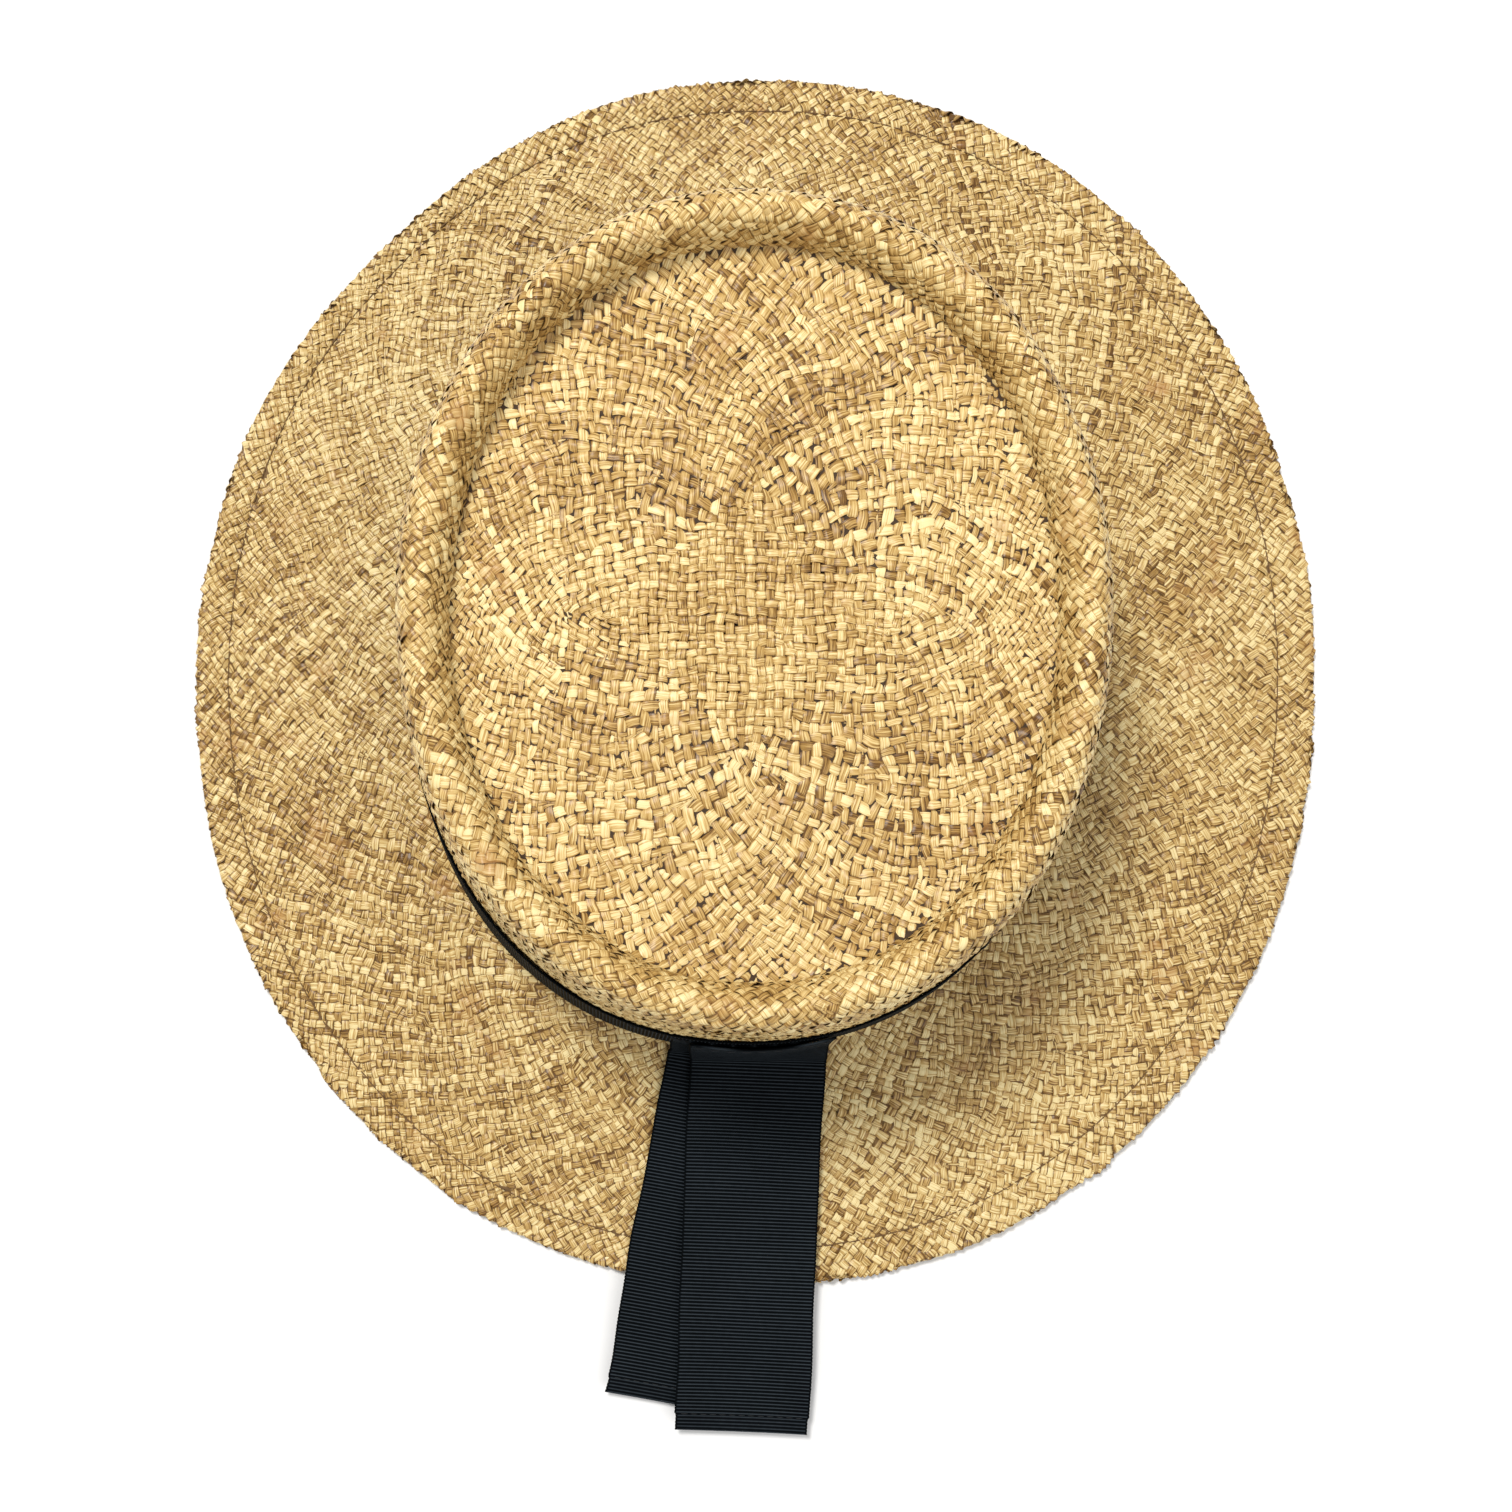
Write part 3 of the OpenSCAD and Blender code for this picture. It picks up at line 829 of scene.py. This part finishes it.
stitches(hem_stitches(), 0.17 * MM, "hem_stitch_line", hem_thread, "hat", "hem_stitching", "hem_thread")


# ---- ribbon
RIB = 0.943 * MM  # pitch of the grosgrain's ribs
RIB_H = 0.12 * MM  # how far a rib stands over the groove beside it
PICOT = 0.16 * MM  # how far the ribs stand out at the edges
PER_RIB = 5  # rows of points to a rib


def grid_quads(index):
    """Quads between neighbours in a grid of point numbers."""
    return np.stack([index[:-1, :-1], index[1:, :-1], index[1:, 1:], index[:-1, 1:]], -1).reshape(-1, 4)


def both_faces(field):
    """A sheet's field once for each of its two faces."""
    return np.concatenate([field.ravel()] * 2)


def closed_grid(top, bottom, wrap=False):
    """Points and quads of a thin sheet with both faces and its edges; grids are (along, across, 3)."""
    rows, cols = top.shape[:2]
    index = np.arange(rows * cols).reshape(rows, cols)
    if wrap:
        index = np.vstack([index, index[:1]])
    under = index + rows * cols
    back = np.stack([under[:-1, :-1], under[:-1, 1:], under[1:, 1:], under[1:, :-1]], -1).reshape(-1, 4)
    quads = [grid_quads(index), back]
    for col, flip in ((0, False), (-1, True)):
        a, b = index[:-1, col], index[1:, col]
        c, d = under[1:, col], under[:-1, col]
        side = np.stack([a, d, c, b], -1)
        quads.append(side[:, ::-1] if flip else side)
    if not wrap:
        for row, flip in ((0, True), (-1, False)):
            a, b = index[row, :-1], index[row, 1:]
            c, d = under[row, 1:], under[row, :-1]
            side = np.stack([a, d, c, b], -1)
            quads.append(side[:, ::-1] if flip else side)
    return np.vstack([top.reshape(-1, 3), bottom.reshape(-1, 3)]), np.vstack(quads)


def rib_shape(distance):
    """Height share of the ribs at a distance along the ribbon, from 0 in a groove to 1 on a rib."""
    return np.abs(np.sin(np.pi * distance / RIB)) ** 0.7


def add_ribbon(name, centre, normal, rib, across, body, replaced, wrap=False, thickness=RIBBON_T):
    """A ribbon from its middle surface: centre and normal are grids, rib and across are its fields."""
    face = normal * (thickness / 2 - RIB_H + RIB_H * rib)[..., None]
    top, bottom = centre + face, centre - face
    verts, quads = closed_grid(top, bottom, wrap)
    piece = add_mesh(name, verts, quads, ribbon, rib=both_faces(rib), across=both_faces(across))
    return attach(piece, body, "ribbon", *replaced)


def belt(cols, heights, distance):
    """Points and outward directions of a cloth strip round the crown, at its heights from the bottom;
    distance(z) is how far out from the crown's foot it is."""
    t = np.arange(cols) / cols * AROUND
    rows = [(ring_at(crown_ring(distance(z), z), t), z) for z in heights]
    points = [np.column_stack([xy, np.full(cols, z)]) for xy, z in rows]
    return np.stack(points, 1), np.stack([outward(xy) for xy, _ in rows], 1)


BAND_OFF = 0.15 * MM  # straw's outer face to the band's inner face
BAND_SLACK = 0.30 * MM  # how much further the band's lower edge stands off


def hat_band():
    length = 2 * np.pi * np.sqrt((CROWN**2).mean())
    cols = int(length / RIB) * PER_RIB
    v = np.concatenate([[0, 0.008, 0.02], np.linspace(0.07, 0.93, 8), [0.98, 0.992, 1]])
    rib = rib_shape(np.arange(cols) / PER_RIB * RIB)
    centre, normal = belt(cols, band_lo[2] + v * RIBBON_W, lambda z: side_s(z) + BAND_OFF + RIBBON_T / 2)
    centre[:, 0, 2] -= (rib - 0.5) * PICOT
    centre[:, -1, 2] += (rib - 0.5) * PICOT
    # the ribbon stands off the straw a little more along its lower edge, and is not quite even
    slack = BAND_SLACK * (1 + 0.5 * waves(81, 60 * MM)(centre))
    centre = centre + normal * (slack * (0.2 + 0.8 * (1 - v)[None, :]))[..., None]
    fade = np.broadcast_to(1 - 0.3 * (np.abs(2 * v - 1) > 0.985), centre.shape[:2])
    piece = add_ribbon("hat_band_ribbon", centre, normal, rib[:, None] * fade,
                       np.broadcast_to(v, centre.shape[:2]), "hat", ["hat_band"], wrap=True)


hat_band()

BEND_R = 2.4 * MM
BACK_R = CROWN[0] ** 2 / CROWN[1]  # how tightly the crown's back curves
BAND_BACK = CROWN[1] + BAND_OFF + RIBBON_T  # the band's outer face, at the back
BACK_SLOPE = (LEAN - TOP_SHIFT[1]) / (RIDGE_Z - WALL_Z)
UPPER_TOP_STAND = 1.2 * MM  # upper tail's upright to the band, at its top
DROOP = 1.4 * MM  # how far an end hangs below its slope
FLUTTER, CURL = 0.30 * MM, 0.35 * MM  # how far a tail waves, and its edges turn up
END_HEM = 4.6 * MM  # length of a tail's turned end
EDGE_Y = BRIM_MID[1] + BRIM[1]


def lie_height(y):
    """Height of the brim's top behind the crown, at distance y behind the middle."""
    u = np.clip((y - CROWN[1]) / (EDGE_Y - CROWN[1]), 0.03, 1)
    return brim_top(u) + STITCH_DIP * np.exp(-(((u - STITCH_U) / STITCH_SPREAD) ** 2))


def tail_path(lift, stand, top_stand):
    """Side view of a tail: q counts along it, 0 where it leaves the upright; returns y, z of q.
    The upright stands off the band by one distance at its foot and another at its top."""
    y0 = BAND_BACK + stand
    low = lie_height(y0 + BEND_R) + lift
    top = low + BEND_R
    above = np.linspace(RIBBON_W + 8 * MM, 0, 120)
    slope = BACK_SLOPE + (stand - top_stand) / RIBBON_W
    points = [(y0 - h * slope, top + h) for h in above]
    for a in np.linspace(0, np.pi / 2, 24)[1:]:
        points.append((y0 + BEND_R * (1 - math.cos(a)), top - BEND_R * math.sin(a)))
    for y in np.linspace(y0 + BEND_R, y0 + BEND_R + 120 * MM, 500)[1:]:
        past = max(0.0, y - (EDGE_Y - 7 * MM)) / (40 * MM)
        points.append((y, lie_height(y) + lift - DROOP * past**1.6))
    points = np.array(points)
    run = np.concatenate([[0], np.cumsum(np.linalg.norm(np.diff(points, axis=0), axis=1))])
    zero = run[len(above) - 1]
    return points, run - zero


def tail(name, angle, x, length, lift, stand, top_stand, split_at, seed, replaced):
    """A ribbon tail folded over a bend that runs along X; its own direction slants by angle.
    It is made as two pieces that meet at the distance split_at past the bend's start."""
    points, run = tail_path(lift, stand, top_stand)
    a = math.radians(angle)
    root = RIBBON_W - 3 * MM
    step = RIB / PER_RIB
    l = np.arange(-root, length, step)
    v = np.concatenate([[0, 0.006, 0.016], np.linspace(0.05, 0.95, 19), [0.984, 0.994, 1]])
    rib1 = rib_shape(l)
    end = np.clip((l - (length - END_HEM)) / (0.5 * MM), 0, 1)
    width = RIBBON_W * (1 - 0.02 * end)
    w = (v[None, :] - 0.5) * width[:, None]
    picot = np.where((v == 0) | (v == 1), 1, 0)[None, :] * (rib1[:, None] - 0.5) * PICOT
    w = w + picot * np.sign(v - 0.5)[None, :]
    w = w + waves(seed + 7, 30 * MM)(np.column_stack([l, l * 0, l * 0]))[:, None] * 0.35 * MM
    square = np.clip(-l / root, 0, 1)[:, None]  # the top end is cut level, not square to the tail
    cut = l[:, None] + square * w * math.tan(a)
    p = x + np.maximum(cut, 0) * math.sin(a) + w * math.cos(a)
    q = cut * math.cos(a) - w * math.sin(a)
    round_back = np.clip(-q / (14 * MM), 0, 1)  # above the fold it takes the curve of the crown's back
    y = np.interp(q, run, points[:, 0]) - p * p / (2 * BACK_R) * round_back**2 * (3 - 2 * round_back)
    z = np.interp(q, run, points[:, 1])
    d = 0.1 * MM
    ty = np.interp(q + d, run, points[:, 0]) - np.interp(q - d, run, points[:, 0])
    tz = np.interp(q + d, run, points[:, 1]) - np.interp(q - d, run, points[:, 1])
    norm = np.hypot(ty, tz)
    normal = np.stack([np.zeros_like(p), -tz / norm, ty / norm], -1)
    centre = np.stack([p, y, z], -1)
    free = np.clip(q / (20 * MM), 0, 1)
    flutter = waves(seed, 48 * MM)(centre) * FLUTTER + FLUTTER
    curl = (2 * np.abs(v - 0.5)[None, :]) ** 3 * CURL
    centre = centre + normal * ((flutter + curl) * free)[..., None]
    rib = rib_shape(cut) * (1 - 0.28 * end[:, None]) + 0.25 * end[:, None]
    rib = rib * (1 - 0.2 * (np.abs(2 * v - 1) > 0.985))[None, :]
    across = np.broadcast_to(v, rib.shape)
    split = int(np.searchsorted(l, split_at))
    upright = add_ribbon(f"{name}_upright", centre[: split + 1], normal[: split + 1], rib[: split + 1],
                         across[: split + 1], None, replaced[:1])
    out = add_ribbon(f"{name}_free", centre[split:], normal[split:], rib[split:], across[split:],
                     None, replaced[1:])
    return upright, out, (centre, normal, l, v)


LOWER_LEN, UPPER_LEN = 99 * MM, 102.5 * MM
UPPER_SPLIT = 10 * MM  # the upper tail's fold moves with its upright part
lower_up, lower_out, lower_grid = tail(
    "tail_lower_ribbon", 10.4, 1.4 * MM, LOWER_LEN, 0.55 * MM, 0.65 * MM, 0.45 * MM, 0.0, 201,
    ["tail_lower_root", "tail_lower", "tail_lower_hem"])
upper_up, upper_out, upper_grid = tail(
    "tail_upper_ribbon", 2.3, -4.0 * MM, UPPER_LEN, 2.25 * MM, 2.75 * MM, UPPER_TOP_STAND, UPPER_SPLIT, 202,
    ["tail_upper_root", "tail_upper", "tail_upper_hem"])


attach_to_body(lower_up, "hat")
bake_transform(lower_out)
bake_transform(upper_up)
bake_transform(upper_out)


def end_stitches(grid, name, body, replaced):
    centre, normal, l, v = grid
    row = int(np.searchsorted(l, l[-1] - 4.4 * MM))
    paths = []
    for at in np.linspace(0.07, 0.93, 13):
        span = np.linspace(at - 0.026, at + 0.026, 5)
        pts = np.stack([np.interp(span, v, centre[row, :, i]) for i in range(3)], 1)
        n = np.stack([np.interp(span, v, normal[row, :, i]) for i in range(3)], 1)
        lift = RIBBON_T / 2 + 0.02 * MM - 0.12 * MM * (2 * np.linspace(0, 1, 5) - 1) ** 4
        paths.append(pts + n * lift[:, None])
    return stitches(paths, 0.10 * MM, name, ribbon_thread, body, replaced, "ribbon_thread")


end_stitches(lower_grid, "tail_lower_end_stitches", "lower_tail", "tail_lower_stitching")
end_stitches(upper_grid, "tail_upper_end_stitches", "upper_tail", "tail_upper_stitching")


# ---- inside the crown
SWEAT_GAP = 2.5 * MM  # straw's outer face to the sweatband's outer face
SWEAT_T = 1.0 * MM
BOW_W, BOW_T = 1.6 * MM, 0.5 * MM  # ribbon of the small bow


def sweat_s(z):
    """Where the sweatband's inner face is at a height, as a distance out from the crown's foot."""
    return -SWEAT_GAP - SWEAT_T + min(0.0, side_s(z))


def sweatband_cloth():
    """Cream cotton tape, a little uneven, all round the inside of the crown's foot."""
    cols = 720
    v = np.linspace(0, 1, 30)
    tall = float(sweat_hi[2] - sweat_lo[2])
    centre, normal = belt(cols, sweat_lo[2] + v * tall, lambda z: sweat_s(z) + SWEAT_T / 2)
    ease = np.sin(np.pi * v)[None, :] * 0.12 * MM
    centre = centre - normal * (ease + 0.08 * MM * waves(91, 40 * MM)(centre))[..., None]
    top, bottom = centre + normal * 0.4 * MM, centre - normal * 0.4 * MM
    verts, quads = closed_grid(top, bottom, wrap=True)
    run = np.broadcast_to((np.arange(cols) / cols * 0.6)[:, None], centre.shape[:2])
    across = np.broadcast_to(v * 0.032, centre.shape[:2])
    piece = add_mesh("sweatband_cloth", verts, quads, cotton,
                     run=both_faces(run), across=both_faces(across))
    attach(piece, "hat", "sweatband_cotton", "sweatband")


sweatband_cloth()


def on_crown(s, degrees, z):
    """A point on an oval of the crown, the way round it and the way out of it."""
    full = CROWN_FULL + (TOP_FULL - CROWN_FULL) * up(z)
    half, t = CROWN + s, math.radians(degrees)
    x = half[0] * signed_pow(math.cos(t), 2 / full)
    y = half[1] * signed_pow(math.sin(t), 2 / full)
    out = np.array([signed_pow(x / half[0], full - 1) / half[0],
                    signed_pow(y / half[1], full - 1) / half[1], 0.0])
    out /= np.linalg.norm(out)
    shift = TOP_SHIFT * up(z)
    return np.array([x + shift[0], y + shift[1], z]), np.array([out[1], -out[0], 0.0]), out


def short_stitch(middle, way, out, length, stand):
    """A path of one stitch: it stands off by the given height and dips in at both ends."""
    share = np.linspace(-1, 1, 7)[:, None]
    return middle + way * share * length / 2 + out * stand * (1 - 0.9 * share**4)


def small_threads():
    """The tacks of the band, the stitches through both uprights and the sweatband's seam."""
    tack_z = band_hi[2] - 3 * MM
    face = side_s(tack_z) + BAND_OFF + RIBBON_T
    tacks = []
    for degrees in range(12, 313, 60):
        middle, way, out = on_crown(face, degrees, tack_z)
        tacks.append(short_stitch(middle, way, out, 2.6 * MM, 0.22 * MM))
    stitches(tacks, 0.14 * MM, "band_tack_threads", ribbon_thread, "hat", "band_tacks", "ribbon_thread")
    centre, _, l, v = upper_grid
    row = int(np.searchsorted(l, -RIBBON_W + 5.5 * MM))
    rows = []
    for at in np.linspace(0.07, 0.93, 9):
        middle = np.array([np.interp(at, v, centre[row, :, i]) for i in range(3)])
        middle[1] += RIBBON_T / 2
        rows.append(short_stitch(middle, np.array([1.0, 0, 0]), np.array([0, 1.0, 0]), 2.2 * MM, 0.10 * MM))
    stitches(rows, 0.14 * MM, "tail_root_threads", ribbon_thread, "hat", "tail_root_stitching",
             "ribbon_thread")
    z = sweat_lo[2] + 2.1 * MM
    seam = []
    for degrees in np.arange(0, 360, 2.5):
        middle, way, out = on_crown(sweat_s(z), degrees, z)
        seam.append(short_stitch(middle, way, -out, 3.0 * MM, 0.16 * MM))
    stitches(seam, 0.15 * MM, "sweatband_threads", hem_thread, "hat", "sweatband_stitching", "hem_thread")


def reed():
    """A cord under grosgrain round the sweatband's lower edge."""
    lo, hi = corners("sweatband_reed")
    z = (lo[2] + hi[2]) / 2
    radius = (hi[2] - lo[2]) / 2 - 0.05 * MM
    line = crown_ring((hi[0] - lo[0]) / 2 - radius - CROWN[0] - 0.02 * MM, z)
    line = even(line, 1536)
    out = outward(line)
    run = np.arange(len(line)) * np.linalg.norm(line[1] - line[0])
    turns = np.arange(13) / 12
    rib = rib_shape(run * 1.6)
    r = radius * (0.92 + 0.08 * rib)
    angle = turns * 2 * np.pi
    grid = np.stack([line[:, None, 0] + out[:, None, 0] * r[:, None] * np.cos(angle),
                     line[:, None, 1] + out[:, None, 1] * r[:, None] * np.cos(angle),
                     z - r[:, None] * np.sin(angle)], -1)
    index = np.arange(grid[..., 0].size).reshape(grid.shape[:2])
    index = np.vstack([index, index[:1]])
    index = np.column_stack([index[:, :-1], index[:, :1]])
    cord = add_mesh("sweatband_reed_cord", grid.reshape(-1, 3), grid_quads(index), ribbon,
                    rib=np.repeat(rib, len(turns)), across=np.tile(turns * 0.1, len(line)))
    attach(cord, "hat", "ribbon", "sweatband_reed")


def bow():
    """A flat bow of narrow ribbon on the sweatband's back: two puckered loops and a wrapped knot."""
    lo, hi = corners("sweatband_bow")
    middle = (lo + hi) / 2
    flat_y = hi[1] - 1.25 * MM
    outer, inner = (hi[2] - lo[2]) / 2, (hi[2] - lo[2]) / 2 - BOW_W
    t = np.linspace(0, 2 * np.pi, 64, endpoint=False)
    v = np.linspace(0, 1, 7)
    for side, label in ((-1, "right"), (1, "left")):
        mid_x = middle[0] + side * ((hi[0] - lo[0]) / 2 - outer)
        radius = (inner + (outer - inner) * v)[None, :]
        narrow = (1 - 0.45 * np.clip(-np.cos(t) * side, 0, 1) ** 2)[:, None]
        pucker = 0.22 * MM * np.sin(5 * t)[:, None] * np.clip(-np.cos(t) * side, 0, 1)[:, None]
        x = mid_x + radius * np.cos(t)[:, None]
        z = middle[2] + radius * np.sin(t)[:, None] * narrow
        y = flat_y + pucker + 0.25 * MM * np.cos(t)[:, None] * side * v[None, :]
        centre = np.stack([x, y, z], -1)
        normal = np.broadcast_to([0.0, -1.0, 0.0], centre.shape)
        run = (t * (inner + outer) / 2)[:, None] * np.ones_like(v)[None, :]
        add_ribbon(f"sweatband_bow_loop_{label}", centre, normal, rib_shape(run * 1.5) * 0.8,
                   np.broadcast_to(v * 0.12, run.shape), "hat", ["sweatband_bow"], wrap=True,
                   thickness=BOW_T)
    half_y, half_z = (flat_y + 0.55 * MM - lo[1]) / 2, (hi[2] - lo[2]) / 4
    v = np.linspace(-1, 1, 17)
    pinch = 1 - 0.16 * np.cos(np.pi * v / 2)[None, :] ** 2
    y = lo[1] + half_y + 0.1 * MM + (half_y - 0.35 * MM) * signed_pow(np.cos(t), 0.7)[:, None] * pinch
    z = middle[2] + half_z * signed_pow(np.sin(t), 0.7)[:, None] * pinch
    x = middle[0] + v[None, :] * 1.8 * MM + 0.12 * MM * np.sin(3 * t)[:, None]
    centre = np.stack([x, y, z], -1)
    normal = np.stack([np.zeros_like(y), np.cos(t)[:, None] * np.ones_like(x),
                       np.sin(t)[:, None] * np.ones_like(x)], -1)
    run = (t * half_z)[:, None] * np.ones_like(x)
    add_ribbon("sweatband_bow_knot", centre, normal, rib_shape(run * 1.5) * 0.8,
               np.broadcast_to((v * 0.1 + 0.1)[None, :], x.shape), "hat", ["sweatband_bow"], wrap=True,
               thickness=BOW_T)


def label():
    """A blank satin label sewn to the sweatband along its upper edge, with a slight curl below."""
    wide, tall = 12 * MM, 14 * MM
    low = sweat_lo[2] + 9 * MM
    u, v = np.linspace(-0.5, 0.5, 25), np.linspace(0, 1, 29)
    grid, nrm = [], []
    for share in v:
        z = low + share * tall
        middle, way, out = on_crown(sweat_s(z), 60, z)
        stand = 0.45 * MM + 0.35 * MM * (1 - share) ** 2 + 0.12 * MM * np.sin(u * 7) * (1 - share)
        flat_in = 2.0 * u**2 * 0.5 * MM
        grid.append(middle + np.outer(u * wide, way) - np.outer(stand + flat_in, out))
        nrm.append(np.broadcast_to(-out, (len(u), 3)))
    centre, normal = np.stack(grid, 1), np.stack(nrm, 1)
    verts, quads = closed_grid(centre + normal * 0.12 * MM, centre - normal * 0.12 * MM)
    run = np.broadcast_to(u[:, None] * wide, centre.shape[:2])
    across = np.broadcast_to(v[None, :] * tall, centre.shape[:2])
    piece = add_mesh("size_label_satin", verts, quads, label_cloth,
                     run=both_faces(run), across=both_faces(across))
    attach(piece, "hat", "label_cloth", "size_label")


small_threads()
reed()
bow()
label()


# ---- floor, light, camera
def floor():
    """A pale sheet just under the hem, so that the two faces don't meet."""
    size = 3.0
    mesh = bpy.data.meshes.new("floor")
    mesh.from_pydata([(-size, -size, 0), (size, -size, 0), (size, size, 0), (-size, size, 0)], [],
                     [(0, 1, 2, 3)])
    mat, nt, bsdf = nodes_of("floor_paper")
    speck = noise(nt, place_socket(nt), 40.0, 3.0)
    link(nt, ramp(nt, speck, [(0.0, (0.86, 0.86, 0.86)), (1.0, (0.90, 0.90, 0.90))]),
         bsdf.inputs["Base Color"])
    bsdf.inputs["Roughness"].default_value = 0.9
    mesh.materials.append(mat)
    obj = bpy.data.objects.new("floor", mesh)
    obj.location.z = -0.15 * MM
    bpy.context.scene.collection.objects.link(obj)


def area_light(name, place_at, aim, size, power, colour):
    data = bpy.data.lights.new(name, "AREA")
    data.shape = "DISK"
    data.size = size
    data.energy = power
    data.color = colour
    obj = bpy.data.objects.new(name, data)
    obj.location = place_at
    obj.rotation_mode = "QUATERNION"
    obj.rotation_quaternion = (Vector(aim) - Vector(place_at)).to_track_quat("-Z", "Y")
    bpy.context.scene.collection.objects.link(obj)


def camera():
    """Above the back of the crown; the shift keeps the brim in the middle of the frame."""
    eye = Vector((21.3, 70.8, 476.3)) * MM
    frame_middle = Vector((-4.3, 24.1, 0)) * MM
    tilt = math.radians(1.64)
    aim = Vector((eye.x, eye.y - eye.z * math.tan(tilt), 0))
    data = bpy.data.cameras.new("camera")
    data.sensor_width = 36
    data.lens = 41.6
    obj = bpy.data.objects.new("camera", data)
    bpy.context.scene.collection.objects.link(obj)
    forward = (aim - eye).normalized()
    right = forward.cross(Vector((0, -1, 0))).normalized()
    m = obj.matrix_world.to_3x3()
    m[0][:], m[1][:], m[2][:] = zip(right, right.cross(forward), -forward)
    obj.matrix_world = m.to_4x4()
    obj.location = eye
    seen = m.inverted() @ (frame_middle - eye)
    data.shift_x = seen.x / -seen.z * data.lens / data.sensor_width
    data.shift_y = seen.y / -seen.z * data.lens / data.sensor_width
    data.clip_start, data.clip_end = 0.01, 20
    bpy.context.scene.camera = obj


def world():
    w = bpy.data.worlds.new("studio")
    w.use_nodes = True
    back = w.node_tree.nodes["Background"]
    back.inputs["Color"].default_value = (1.0, 1.0, 1.0, 1)
    back.inputs["Strength"].default_value = 0.50
    bpy.context.scene.world = w


floor()
area_light("key", (0.38, -0.52, 1.38), (0, 0, 0.03), 0.36, 18.5, (1.0, 0.985, 0.96))
area_light("fill", (-0.8, 0.9, 1.4), (0, 0, 0.0), 1.4, 8, (1.0, 0.99, 0.97))
world()
camera()
bpy.context.scene.view_settings.view_transform = "Standard"
